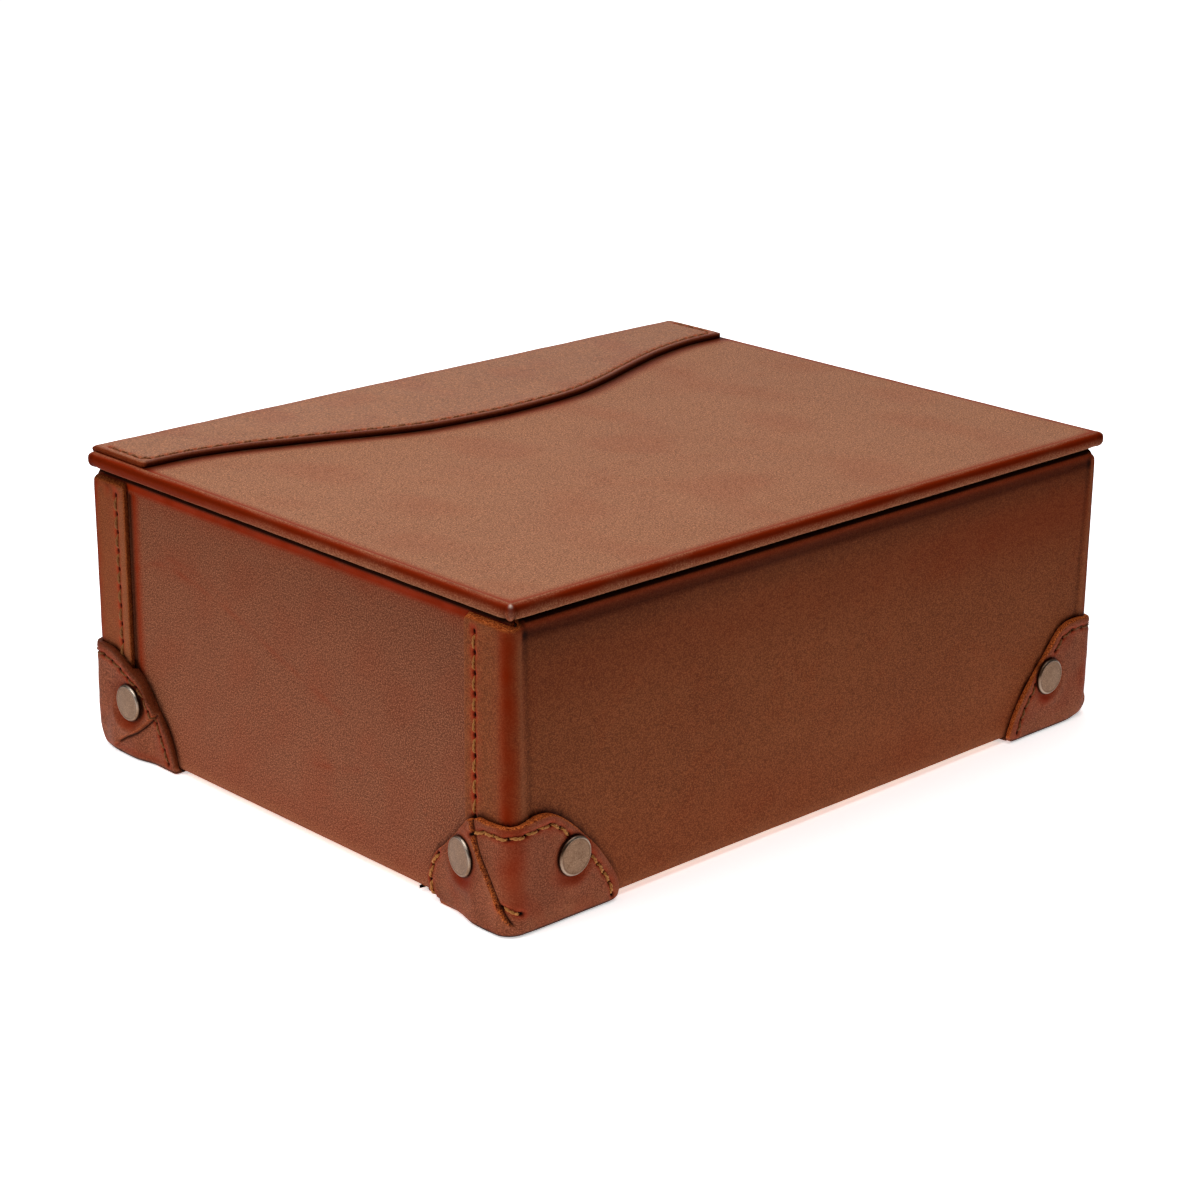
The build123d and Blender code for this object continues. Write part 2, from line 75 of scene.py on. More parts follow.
def rounded(pts, rads, m=7):
    """A closed polygon with its corners eased by the given radii."""
    pts = np.asarray(pts, float)
    out = []
    n = len(pts)
    for i in range(n):
        p, a, b, r = pts[i], pts[i - 1], pts[(i + 1) % n], rads[i]
        if r <= 0:
            out.append(p)
            continue
        da, db = a - p, b - p
        la, lb = np.linalg.norm(da), np.linalg.norm(db)
        cosang = np.clip(da @ db / la / lb, -1, 1)
        t = min(r / math.tan(max(math.acos(cosang) / 2, 0.05)), la * 0.49, lb * 0.49)
        p0, p1 = p + da / la * t, p + db / lb * t
        for s in np.linspace(0, 1, m):
            out.append((1 - s) ** 2 * p0 + 2 * s * (1 - s) * p + s * s * p1)
    return np.array(out)


def spline(pts, step=0.6):
    """Catmull-Rom curve through the points, open."""
    P = np.asarray(pts, float)
    P = np.vstack([2 * P[0] - P[1], P, 2 * P[-1] - P[-2]])
    out = []
    for i in range(1, len(P) - 2):
        n = max(2, int(np.linalg.norm(P[i + 1] - P[i]) / step))
        t = np.linspace(0, 1, n, endpoint=False)[:, None]
        a, b, c, d = P[i - 1], P[i], P[i + 1], P[i + 2]
        out.append(0.5 * (2 * b + (c - a) * t + (2 * a - 5 * b + 4 * c - d) * t**2 + (3 * b - a - 3 * c + d) * t**3))
    out.append(P[-2][None])
    return np.vstack(out)


def resample(pts, h, closed=True):
    pts = np.asarray(pts, float)
    line = np.vstack([pts, pts[:1]]) if closed else pts
    cum = np.concatenate([[0], np.cumsum(np.linalg.norm(np.diff(line, axis=0), axis=1))])
    n = max(6, int(round(cum[-1] / h)))
    s = np.linspace(0, cum[-1], n, endpoint=False) if closed else np.linspace(0, cum[-1], n + 1)
    return np.stack([np.interp(s, cum, line[:, i]) for i in range(line.shape[1])], 1)


def near(P, Q, chunk=4000):
    """Distance from each of P to the nearest of Q, and its index."""
    P, Q = np.asarray(P, float), np.asarray(Q, float)
    d, k = np.empty(len(P)), np.empty(len(P), int)
    for i in range(0, len(P), chunk):
        dd = ((P[i : i + chunk, None, :] - Q[None, :, :]) ** 2).sum(2)
        k[i : i + chunk] = dd.argmin(1)
        d[i : i + chunk] = np.sqrt(dd.min(1))
    return d, k


def inside(P, poly):
    x, y = P[:, 0], P[:, 1]
    c = np.zeros(len(P), bool)
    a, b = poly, np.roll(poly, -1, 0)
    for (x0, y0), (x1, y1) in zip(a, b):
        if y0 == y1:
            continue
        hit = ((y0 > y) != (y1 > y)) & (x < (x1 - x0) * (y - y0) / (y1 - y0) + x0)
        c ^= hit
    return c


def area2(poly):
    x, y = poly[:, 0], poly[:, 1]
    return float((x * np.roll(y, -1) - y * np.roll(x, -1)).sum())


def triangulate(pts, nring):
    """Triangles inside the polygon that the first nring points make, over all the points."""
    out = delaunay_2d_cdt([Vector((float(p[0]), float(p[1]))) for p in pts], [], [list(range(nring))], 1, 1e-7, True)
    back = [o[0] if len(o) else -1 for o in out[3]]
    tris = []
    for f in out[2]:
        t = [back[i] for i in f]
        if -1 in t or len(set(t)) < 3:
            continue
        a, b, c = (pts[i] for i in t)
        if (b[0] - a[0]) * (c[1] - a[1]) - (b[1] - a[1]) * (c[0] - a[0]) < 0:
            t = t[::-1]
        tris.append(t)
    # hairline triangles between a nearly straight run of the ring and its chord lie outside it
    tris = np.array(tris, int)
    P = np.asarray(pts, float)[:, :2]
    rim = (tris < nring).all(1)
    rim[rim] = ~inside(P[tris[rim]].mean(1), P[:nring])
    return tris[~rim]


# ---------------------------------------------------------------- mesh assembly
class Bag:
    """Vertices, faces and named point attributes of one piece, gathered in parts."""

    def __init__(self):
        self.co, self.faces, self.att, self.n = [], [], [], 0

    def add(self, co, faces, att=None):
        self.co.append(np.asarray(co, float))
        for f in faces:
            f = np.asarray(f, int)
            if f.size:
                self.faces.append(f + self.n)
        self.att.append(att or {})
        self.n += len(co)

    def obj(self, name, material, flip=False, matrix=None):
        co = np.vstack(self.co)
        if matrix is not None:
            co = co @ np.asarray(matrix, float).T
            flip ^= np.linalg.det(matrix) < 0
        loops, starts, totals, k = [], [], [], 0
        for f in self.faces:
            if flip:
                f = f[:, ::-1]
            loops.append(f.ravel())
            w = f.shape[1]
            starts.append(k + np.arange(len(f)) * w)
            totals.append(np.full(len(f), w))
            k += f.size
        loops, starts, totals = map(np.concatenate, (loops, starts, totals))
        me = bpy.data.meshes.new(name)
        me.vertices.add(len(co))
        me.vertices.foreach_set("co", (co * MM).astype(np.float32).ravel())
        me.loops.add(len(loops))
        me.loops.foreach_set("vertex_index", loops.astype(np.int32))
        me.polygons.add(len(starts))
        me.polygons.foreach_set("loop_start", starts.astype(np.int32))
        me.polygons.foreach_set("loop_total", totals.astype(np.int32))
        me.polygons.foreach_set("use_smooth", np.ones(len(starts), bool))
        me.update(calc_edges=True)
        me.validate(clean_customdata=False)
        names = sorted({k for a in self.att for k in a})
        for nm in names:
            parts = []
            for c, a in zip(self.co, self.att):
                v = a.get(nm)
                width = 3 if nm == "pat" else 1
                parts.append(np.zeros((len(c), width)) if v is None else np.asarray(v, float).reshape(len(c), width))
            v = np.vstack(parts)
            if nm == "pat":
                at = me.attributes.new(nm, "FLOAT_VECTOR", "POINT")
                at.data.foreach_set("vector", v.astype(np.float32).ravel())
            else:
                at = me.attributes.new(nm, "FLOAT", "POINT")
                at.data.foreach_set("value", v.astype(np.float32).ravel())
        ob = bpy.data.objects.new(name, me)
        SCENE.collection.objects.link(ob)
        me.materials.append(material)
        return ob


def leather_sheet(bag, outline, h, mapfn, disp=None, paint=None, rt=0.45, bands=(0.5, 1.2), extra=None,
                  grid=None, raw=None, seed=0.0):
    """A leather sheet cut to a flat outline (u, v), with eased edges, laid on a surface.

    mapfn(u, v) gives the outer surface's point, its outward normal and the
    thickness there; disp(u, v, edge) lifts the outer surface; paint(u, v, edge)
    gives named values for the material; raw(u, v) says how raw the cut edge is.
    """
    outline = np.asarray(outline, float)
    if area2(outline) < 0:
        outline = outline[::-1]
    ring = resample(outline, h)
    N = len(ring)
    tan = np.roll(ring, -1, 0) - np.roll(ring, 1, 0)
    tan /= np.linalg.norm(tan, axis=1)[:, None]
    inn = np.stack([-tan[:, 1], tan[:, 0]], 1)
    hg = grid or h
    dense = resample(outline, min(0.5, h / 2))
    top = [ring + inn * rt]
    fixed = []
    for b in bands:
        fixed.append(ring + inn * (rt + b))
    if extra is not None and len(extra):
        fixed.append(np.asarray(extra, float))
    if fixed:
        fx = np.vstack(fixed)
        fx = fx[inside(fx, ring)]
        fx = fx[near(fx, dense)[0] > rt + 0.2]
    else:
        fx = np.zeros((0, 2))
    lo, hi = ring.min(0), ring.max(0)
    rows = np.arange(lo[1] + hg / 2, hi[1], hg * 0.866)
    g = []
    for j, y in enumerate(rows):
        x = np.arange(lo[0] + (hg / 2 if j % 2 else hg), hi[0], hg)
        g.append(np.stack([x, np.full_like(x, y)], 1))
    g = np.vstack(g)
    g = g[inside(g, ring)]
    g = g[near(g, dense)[0] > rt + 0.45 * hg + (max(bands) if bands else 0)]
    if len(fx):
        g = g[near(g, fx)[0] > 0.5 * hg]
    pts = np.vstack(top + [fx, g])
    tri = triangulate(pts, N)
    d_top = near(pts, dense)[0]
    k = 0.70710678
    blocks = [  # (points, depth from the top, or None; height from the bottom, or None; edge distance; rawness)
        (pts, np.zeros(len(pts)), None, d_top, 0.0),
        (ring + inn * rt * (1 - k), np.full(N, rt * (1 - k)), None, np.full(N, rt * 0.3), 0.45),
        (ring, np.full(N, rt), None, np.zeros(N), 1.0),
        (ring, None, np.full(N, rt * 0.6), np.zeros(N), 1.0),
    ]
    co, att = [], {}
    for uv, depth, height, de, rw in blocks:
        u, v = uv[:, 0], uv[:, 1]
        O, n, th = mapfn(u, v)
        lift = disp(u, v, de) if disp else np.zeros(len(u))
        if depth is not None:
            dd = np.minimum(depth, th * 0.45)
            P = O + n * (lift - dd)[:, None]
            w = dd
        else:
            P = O + n * (-th + np.minimum(height, th * 0.3))[:, None]
            w = th - height
        co.append(P)
        a = paint(u, v, de) if paint else {}
        a = {k2: np.broadcast_to(x, u.shape) * (1.0 if depth is not None else 0.0) for k2, x in a.items()}
        rr = raw(u, v) if raw else np.ones(len(u))
        a["raw"] = rr * rw
        a["pat"] = np.stack([u, v, w + seed], 1)
        for k2, x in a.items():
            att.setdefault(k2, []).append(x)
    # the underside: the same flat points, facing the other way
    u, v = pts[:, 0], pts[:, 1]
    O, n, th = mapfn(u, v)
    co.append(O - n * th[:, None])
    for k2 in att:
        if k2 == "pat":
            att[k2].append(np.stack([u, v, th + seed], 1))
        else:
            att[k2].append(np.full(len(u), 0.75) if k2 == "raw" else np.zeros(len(u)))
    co = np.vstack(co)
    att = {k2: (np.vstack(x) if k2 == "pat" else np.concatenate(x)) for k2, x in att.items()}
    M = len(pts)
    faces = [tri]
    i = np.arange(N)
    j = (i + 1) % N
    starts = [0, M, M + N, M + 2 * N]
    for s0, s1 in zip(starts[:-1], starts[1:]):
        faces.append(np.stack([s0 + i, s1 + i, s1 + j, s0 + j], 1))
    low = M + 3 * N
    faces.append(np.stack([starts[-1] + i, low + i, low + j, starts[-1] + j], 1))
    faces.append(tri[:, ::-1] + low)
    # ring order: the rim runs outward-down, so its quads already face out
    bag.add(co, faces, att)


# --------------------------------------------------------------------- stitches
def along(line, d):
    """Points and directions at distances d along an open polyline."""
    line = np.asarray(line, float)
    seg = np.diff(line, axis=0)
    ln = np.linalg.norm(seg, axis=1)
    cum = np.concatenate([[0], np.cumsum(ln)])
    d = np.clip(d, 0, cum[-1] - 1e-6)
    i = np.clip(np.searchsorted(cum, d, side="right") - 1, 0, len(seg) - 1)
    t = (d - cum[i]) / ln[i]
    return line[i] + seg[i] * t[:, None], seg[i] / ln[i][:, None]


class Row:
    """A row of hand stitches along a flat line: its holes, and where its threads go."""

    def __init__(self, line, pitch=None, length=None, slant=0.14, seed=1, count=None, gap=1.1):
        line = np.asarray(line, float)
        total = np.linalg.norm(np.diff(line, axis=0), axis=1).sum()
        n = count or max(1, int(round(total / pitch)))
        p = total / n
        r = np.random.default_rng(seed)
        self.line, self.n, self.pitch = line, n, p
        hd = np.arange(n + 1) * p
        self.holes, self.dirs = along(line, hd)
        a = np.arange(n) * p + gap / 2 + r.uniform(-0.12, 0.12, n)
        b = (np.arange(n) + 1) * p - gap / 2 + r.uniform(-0.12, 0.12, n)
        A, da = along(line, a)
        B, db = along(line, b)
        side = lambda d: np.stack([-d[:, 1], d[:, 0]], 1)
        sl = slant * (1 + r.uniform(-0.35, 0.35, n))[:, None]
        self.A, self.B = A + side(da) * sl, B - side(db) * sl

    def points(self):
        """Extra flat points, so that the sheet's mesh can take the holes and the channel."""
        out = []
        L = np.linalg.norm(np.diff(self.line, axis=0), axis=1).sum()
        d = np.arange(0.0, L, 0.9)
        c, t = along(self.line, d)
        s = np.stack([-t[:, 1], t[:, 0]], 1)
        for k in (-1.7, -1.0, 1.0, 1.7):
            out.append(c + s * k)
        h, t = self.holes, self.dirs
        s = np.stack([-t[:, 1], t[:, 0]], 1)
        out.append(h)
        for rr, m in ((0.45, 6), (0.85, 8)):
            for q in range(m):
                a = 2 * np.pi * (q + 0.5) / m
                out.append(h + t * (1.35 * rr * math.cos(a)) + s * (0.8 * rr * math.sin(a)))
        mid = (self.A + self.B) / 2
        out += [mid, (self.A * 2 + self.B) / 3, (self.A + self.B * 2) / 3]
        return np.vstack(out)

    def hole_d(self, u, v):
        P = np.stack([u, v], 1)
        d, k = near(P, self.holes)
        rel = P - self.holes[k]
        t = self.dirs[k]
        a = (rel * t).sum(1) / 1.35
        b = (rel[:, 0] * -t[:, 1] + rel[:, 1] * t[:, 0]) / 0.8
        return np.hypot(a, b)

    def line_d(self, u, v):
        return near(np.stack([u, v], 1), resample(self.line, 0.4, closed=False))[0]


def channel(rows, u, v, depth=0.22, ridge=0.08):
    """How a row of stitches pulls the leather down, with small pits at the holes."""
    out = np.zeros(len(u))
    for r in rows:
        lo, hi = r.line.min(0) - 4, r.line.max(0) + 4
        m = (u > lo[0]) & (u < hi[0]) & (v > lo[1]) & (v < hi[1])
        if not m.any():
            continue
        d, hd = r.line_d(u[m], v[m]), r.hole_d(u[m], v[m])
        out[m] += -depth * bell(d, 0, 0.85) + ridge * bell(d, 1.7, 0.7) - 0.85 * bell(hd, 0, 0.55)
    return out


def stitch_paint(rows, u, v):
    halo, hole = np.zeros(len(u)), np.zeros(len(u))
    for r in rows:
        lo, hi = r.line.min(0) - 4, r.line.max(0) + 4
        m = (u > lo[0]) & (u < hi[0]) & (v > lo[1]) & (v < hi[1])
        if not m.any():
            continue
        hd = r.hole_d(u[m], v[m])
        halo[m] = np.maximum(halo[m], np.clip(1.35 * bell(hd, 0, 1.5), 0, 0.95))
        halo[m] = np.maximum(halo[m], 0.4 * bell(r.line_d(u[m], v[m]), 0, 0.9))
        hole[m] = np.maximum(hole[m], np.clip(1.5 * bell(hd, 0, 0.70), 0, 1))
    return halo, hole


def threads(bag, row, mapfn, disp=None, radius=0.25, seed=3, rise=0.2, only=None):
    """Two-ply twisted threads from hole to hole."""
    A, B = row.A, row.B
    if only is not None:
        A, B = A[only], B[only]
    S, K, R = len(A), 13, 6
    if not S:
        return
    rng = np.random.default_rng(seed)
    t = np.linspace(0, 1, K)
    uv = A[:, None, :] + (B - A)[:, None, :] * t[None, :, None]
    u, v = uv[..., 0].ravel(), uv[..., 1].ravel()
    O, n, th = mapfn(u, v)
    lift = disp(u, v, np.full(len(u), 9.0)) if disp else np.zeros(len(u))
    prof = -0.75 + (0.75 + rise) * np.clip(np.sin(np.pi * t), 0, 1) ** 0.33
    prof = np.tile(prof, S)
    # the pits at the holes are left out of the height, so that the thread arches over them
    base = np.minimum(lift, 0) * 0.35
    C = (O + n * (base + prof)[:, None]).reshape(S, K, 3)
    n = n.reshape(S, K, 3)
    T = np.gradient(C, axis=1)
    T /= np.linalg.norm(T, axis=2)[..., None]
    side = np.cross(T, n)
    side /= np.linalg.norm(side, axis=2)[..., None]
    up = np.cross(side, T)
    length = np.linalg.norm(B - A, axis=1)
    phase = rng.uniform(0, 2 * np.pi, S)
    for ply in (0, 1):
        ang = phase[:, None] + np.pi * ply + 2 * np.pi * (t[None, :] * length[:, None] / 2.5)
        off = 0.2
        c = C + (side * np.cos(ang)[..., None] + up * np.sin(ang)[..., None]) * off
        q = 2 * np.pi * np.arange(R) / R
        ring = c[:, :, None, :] + (side[:, :, None, :] * np.cos(q)[None, None, :, None] + up[:, :, None, :] * np.sin(q)[None, None, :, None]) * radius
        co = ring.reshape(-1, 3)
        i = np.arange(S * K * R).reshape(S, K, R)
        a, b = i[:, :-1, :], i[:, 1:, :]
        a2, b2 = np.roll(a, -1, 2), np.roll(b, -1, 2)
        quads = np.stack([a, a2, b2, b], -1).reshape(-1, 4)
        caps = np.concatenate([i[:, 0, ::-1].reshape(-1, R), i[:, -1, :].reshape(-1, R)])
        pat = np.stack([np.repeat((t[None, :] * length[:, None]).reshape(S, K, 1), R, 2).ravel(),
                        np.tile(q, S * K), np.repeat(rng.uniform(0, 50, S), K * R)], 1)
        bag.add(co, [quads, caps], {"pat": pat})


# -------------------------------------------------------------------- materials
def socket(node, name):
    return next(s for s in node.inputs if s.name == name)


class Mat:
    def __init__(self, name):
        self.m = bpy.data.materials.new(name)
        self.m.use_nodes = True
        self.t = self.m.node_tree
        self.t.nodes.clear()
        self.out = self.t.nodes.new("ShaderNodeOutputMaterial")
        self.b = self.t.nodes.new("ShaderNodeBsdfPrincipled")
        self.t.links.new(self.b.outputs[0], self.out.inputs[0])

    def n(self, kind, **kw):
        nd = self.t.nodes.new("ShaderNode" + kind)
        for k, v in kw.items():
            setattr(nd, k, v)
        return nd

    def link(self, a, b):
        self.t.links.new(a, b)

    def val(self, name, v):
        socket(self.b, name).default_value = v

    def attr(self, name, vector=False):
        nd = self.n("Attribute", attribute_name=name, attribute_type="GEOMETRY")
        return nd.outputs["Vector" if vector else "Fac"]

    def coords(self, source, scale, offset=(0, 0, 0)):
        mp = self.n("Mapping")
        mp.inputs["Scale"].default_value = scale if isinstance(scale, tuple) else (scale,) * 3
        mp.inputs["Location"].default_value = offset
        self.link(source, mp.inputs["Vector"])
        return mp.outputs[0]

    def noise(self, vec, scale, detail=3.0, rough=0.55, dist=0.0, lac=2.0):
        nd = self.n("TexNoise")
        nd.inputs["Scale"].default_value = scale
        nd.inputs["Detail"].default_value = detail
        nd.inputs["Roughness"].default_value = rough
        nd.inputs["Distortion"].default_value = dist
        nd.inputs["Lacunarity"].default_value = lac
        self.link(vec, nd.inputs["Vector"])
        return nd.outputs["Fac"]

    def voronoi(self, vec, scale, feature="DISTANCE_TO_EDGE", rnd=1.0):
        nd = self.n("TexVoronoi", feature=feature)
        nd.inputs["Scale"].default_value = scale
        nd.inputs["Randomness"].default_value = rnd
        self.link(vec, nd.inputs["Vector"])
        return nd.outputs["Distance"]

    def ramp(self, fac, a, b, lo=0.0, hi=1.0):
        nd = self.n("MapRange", interpolation_type="SMOOTHSTEP")
        for nm, v in (("From Min", a), ("From Max", b), ("To Min", lo), ("To Max", hi)):
            socket(nd, nm).default_value = v
        self.link(fac, socket(nd, "Value"))
        return nd.outputs["Result"]

    def math(self, op, a, b=None, clamp=False):
        nd = self.n("Math", operation=op, use_clamp=clamp)
        for i, x in enumerate((a, b)):
            if x is None:
                continue
            if hasattr(x, "node"):
                self.link(x, nd.inputs[i])
            else:
                nd.inputs[i].default_value = x
        return nd.outputs[0]

    def mix(self, fac, a, b, blend="MIX"):
        nd = self.n("Mix", data_type="RGBA", blend_type=blend, clamp_factor=True)
        f, ia, ib = nd.inputs[0], nd.inputs[6], nd.inputs[7]
        for s, x in ((f, fac), (ia, a), (ib, b)):
            if hasattr(x, "node"):
                self.link(x, s)
            elif isinstance(x, (int, float)):
                s.default_value = x
            else:
                s.default_value = (*x, 1.0)
        return nd.outputs[2]

    def bump(self, height, strength, dist, normal=None):
        nd = self.n("Bump")
        nd.inputs["Strength"].default_value = strength
        nd.inputs["Distance"].default_value = dist
        self.link(height, nd.inputs["Height"])
        if normal is not None:
            self.link(normal, nd.inputs["Normal"])
        return nd.outputs[0]


def srgb(r, g, b):
    f = lambda c: c / 12.92 if c <= 0.04045 else ((c + 0.055) / 1.055) ** 2.4
    return tuple(f(x / 255) for x in (r, g, b))


def leather(name, dark, light, red, rough=0.46, spec=0.16, bump=0.35, mottle=1.0, seed=0.0, grain=1.0):
    """Smooth waxed leather: fine grain, soft colour changes, redder at the bends, with painted shade and highlights
    laid on from the mesh's attributes.
    """
    M = Mat(name)
    pat = M.attr("pat", vector=True)
    p = M.coords(pat, 1.0, (seed * 13.7, seed * 7.1, seed * 3.3))
    big = M.noise(p, 0.020, 3, 0.55, 0.6)
    mid = M.noise(p, 0.085, 4, 0.6, 0.4)
    blot = M.noise(p, 0.33, 3, 0.55)
    fine = M.noise(p, 1.35, 3, 0.7)
    grainy = M.noise(p, 2.4, 2, 0.6)
    streak = M.noise(M.coords(p, (0.035, 0.4, 0.4)), 1.0, 4, 0.65, 0.3)
    cell = M.voronoi(M.coords(p, 1.0), 0.95)
    tone = M.math("ADD", M.math("MULTIPLY", big, 0.45), M.math("MULTIPLY", mid, 0.35))
    tone = M.math("ADD", tone, M.math("MULTIPLY", blot, 0.2))
    tone = M.ramp(tone, 0.36, 0.64)
    base = M.mix(tone, dark, light)
    ruddy = M.ramp(M.noise(M.coords(p, 1.0, (41.0, 17.0, 5.0)), 0.042, 4, 0.62, 0.8), 0.50, 0.70)
    base = M.mix(M.math("MULTIPLY", ruddy, 0.30 * mottle), base, red)
    fine_t = M.ramp(fine, 0.30, 0.70)
    pores = M.ramp(M.noise(M.coords(p, 1.0, (3.0, 9.0, 27.0)), 0.78, 2, 0.6), 0.36, 0.62)
    base = M.mix(M.math("MULTIPLY", M.math("SUBTRACT", 1.0, pores), 0.26 * grain), base, tuple(c * 0.5 for c in dark))
    base = M.mix(M.math("MULTIPLY", M.math("SUBTRACT", 1.0, fine_t), 0.60 * grain), base, tuple(c * 0.5 for c in dark))
    base = M.mix(M.math("MULTIPLY", M.ramp(grainy, 0.42, 0.68), 0.52 * grain), base, tuple(min(1, c * 1.75) for c in light))
    base = M.mix(M.math("MULTIPLY", M.ramp(streak, 0.58, 0.80), 0.14), base, tuple(min(1, c * 1.35) for c in light))
    # bends and pulls bring the red out; red also paints shade and dark reflections at bends, folds and edges, and pale
    # paints highlights and light reflections as well as scuffs
    base = M.mix(M.attr("red"), base, red)
    base = M.mix(M.attr("halo"), base, srgb(192, 66, 36))
    base = M.mix(M.math("MULTIPLY", M.attr("pale"), 0.6), base, srgb(182, 116, 80))
    # the cut edge: fibrous and orange
    fib = M.noise(M.coords(pat, (1.6, 1.6, 5.5)), 1.0, 4, 0.7, 0.5)
    rawc = M.mix(M.ramp(fib, 0.35, 0.68), srgb(138, 46, 12), srgb(255, 140, 70))
    base = M.mix(M.attr("raw"), base, rawc)
    base = M.mix(M.attr("frayed"), base, M.mix(M.ramp(M.noise(M.coords(M.n("TexCoord").outputs["Object"], 2300.0), 1.0, 3, 0.7), 0.43, 0.57), srgb(100, 30, 8), srgb(252, 132, 64)))
    # dark: painted shade and shadow in gaps, creases, contacts and under the lid, and dye on some cut edges
    base = M.mix(M.attr("dark"), base, srgb(30, 8, 3))
    # painted shade in the stitch holes
    base = M.mix(M.attr("hole"), base, srgb(8, 4, 2))
    # painted highlights and glints
    base = M.mix(M.attr("shine"), base, srgb(250, 226, 208))
    M.link(base, socket(M.b, "Base Color"))
    r = M.math("ADD", rough - 0.05, M.math("MULTIPLY", fine, 0.12))
    r = M.math("ADD", r, M.math("MULTIPLY", mid, 0.06))
    r = M.math("ADD", r, M.math("MULTIPLY", M.attr("raw"), 0.3))
    r = M.math("SUBTRACT", r, M.math("MULTIPLY", M.attr("worn"), 0.24), clamp=True)
    M.link(r, socket(M.b, "Roughness"))
    M.val("Specular IOR Level", spec)
    h = M.math("ADD", M.math("MULTIPLY", M.ramp(cell, 0.0, 0.28), 0.35), M.math("MULTIPLY", fine, 0.8))
    h = M.math("ADD", h, M.math("MULTIPLY", grainy, 0.35))
    h = M.math("ADD", h, M.math("MULTIPLY", M.math("MULTIPLY", M.attr("raw"), fib), 3.0))
    soft = M.bump(M.math("ADD", M.math("MULTIPLY", blot, 1.0), M.math("MULTIPLY", streak, 0.6)), 0.25, 0.00045)
    M.link(M.bump(h, bump, 0.00016, soft), socket(M.b, "Normal"))
    return M.m


# the lid and strap copies of the leather are given lighter colours as painted light from above
BROWN_D, BROWN_L, RED = srgb(134, 71, 42), srgb(148, 82, 49), srgb(148, 40, 2)
mat_body = leather("body_leather", BROWN_D, BROWN_L, RED, spec=0.02, seed=1.0, mottle=0.6, grain=1.2)
mat_side = leather("body_leather_side", srgb(132, 76, 53), srgb(147, 88, 62), RED, spec=0.02, seed=1.5, mottle=0.8, grain=1.7)
mat_lid_lit = leather("lid_leather", srgb(158, 103, 73), srgb(172, 115, 82), RED, spec=0.02, seed=2.0, mottle=0.6, grain=1.6)
mat_strap_lit = leather("hinge_leather", srgb(155, 98, 63), srgb(170, 110, 74), RED, spec=0.06, seed=3.0, mottle=0.25, grain=1.3)
mat_guard = leather("guard_leather", srgb(133, 72, 48), srgb(159, 89, 62), RED, spec=0.03, seed=4.0, mottle=0.4, grain=1.2)


def thread_material(name, c0, c1, c2):
    M = Mat(name)
    p = M.attr("pat", vector=True)
    tw = M.n("TexWave", wave_type="BANDS", bands_direction="DIAGONAL")
    tw.inputs["Scale"].default_value = 1.6
    tw.inputs["Distortion"].default_value = 1.2
    tw.inputs["Detail"].default_value = 2.0
    M.link(M.coords(p, (2.0, 0.5, 1.0)), tw.inputs["Vector"])
    fz = M.noise(M.coords(p, (1.2, 1.0, 1.0)), 1.4, 3, 0.6)
    c = M.mix(M.ramp(tw.outputs["Fac"], 0.1, 0.9), c0, c1)
    c = M.mix(M.math("MULTIPLY", M.ramp(fz, 0.45, 0.7), 0.6), c, c2)
    c = M.mix(M.attr("stain"), c, srgb(92, 44, 20))
    M.link(c, socket(M.b, "Base Color"))
    M.link(M.ramp(fz, 0.3, 0.7, 0.5, 0.75), socket(M.b, "Roughness"))
    M.val("Specular IOR Level", 0.25)
    M.link(M.bump(tw.outputs["Fac"], 0.6, 0.00012), socket(M.b, "Normal"))
    return M.m


def metal_material():
    M = Mat("antique_nickel")
    p = M.coords(M.attr("pat", vector=True), 1.0)
    a = M.noise(p, 0.5, 4, 0.6, 0.4)
    b = M.noise(p, 2.2, 4, 0.7)
    s = M.noise(M.coords(p, (0.25, 4.0, 1.0)), 1.0, 3, 0.6)
    c = M.mix(M.ramp(a, 0.3, 0.7), srgb(112, 84, 65), srgb(134, 104, 82))
    c = M.mix(M.math("MULTIPLY", M.ramp(b, 0.44, 0.66), 0.55), c, srgb(92, 66, 48))
    c = M.mix(M.math("MULTIPLY", M.ramp(M.noise(M.coords(p, 1.0, (9.0, 4.0, 2.0)), 3.4, 2, 0.6), 0.52, 0.70), 0.45), c, srgb(186, 152, 124))
    # painted shade at the cap's foot and painted highlight on the bevel
    c = M.mix(M.attr("dark"), c, srgb(40, 28, 20))
    c = M.mix(M.attr("shine"), c, srgb(240, 224, 206))
    M.link(c, socket(M.b, "Base Color"))
    M.val("Metallic", 1.0)
    M.link(M.ramp(M.math("ADD", M.math("MULTIPLY", a, 0.5), M.math("MULTIPLY", s, 0.5)), 0.3, 0.7, 0.30, 0.46), socket(M.b, "Roughness"))
    h = M.math("ADD", M.math("MULTIPLY", b, 0.6), M.math("MULTIPLY", s, 0.6))
    M.link(M.bump(h, 0.18, 0.00008), socket(M.b, "Normal"))
    return M.m


def object_material(name, dark, light, rough, kind):
    """Boards, patterned in the piece's own coordinates."""
    M = Mat(name)
    co = M.n("TexCoord").outputs["Object"]
    if kind == "board":
        a = M.noise(M.coords(co, 1.0), 55, 5, 0.6, 0.6)
        f = M.noise(M.coords(co, (180.0, 900.0, 900.0)), 1.0, 4, 0.65, 0.4)
        c = M.mix(M.ramp(a, 0.35, 0.65), dark, light)
        c = M.mix(M.math("MULTIPLY", M.ramp(f, 0.5, 0.72), 0.5), c, tuple(x * 0.55 for x in dark))
        M.link(c, socket(M.b, "Base Color"))
        M.link(M.ramp(f, 0.3, 0.7, rough - 0.08, rough + 0.08), socket(M.b, "Roughness"))
        M.link(M.bump(f, 0.4, 0.0002), socket(M.b, "Normal"))
        M.val("Specular IOR Level", 0.3)
    return M.m


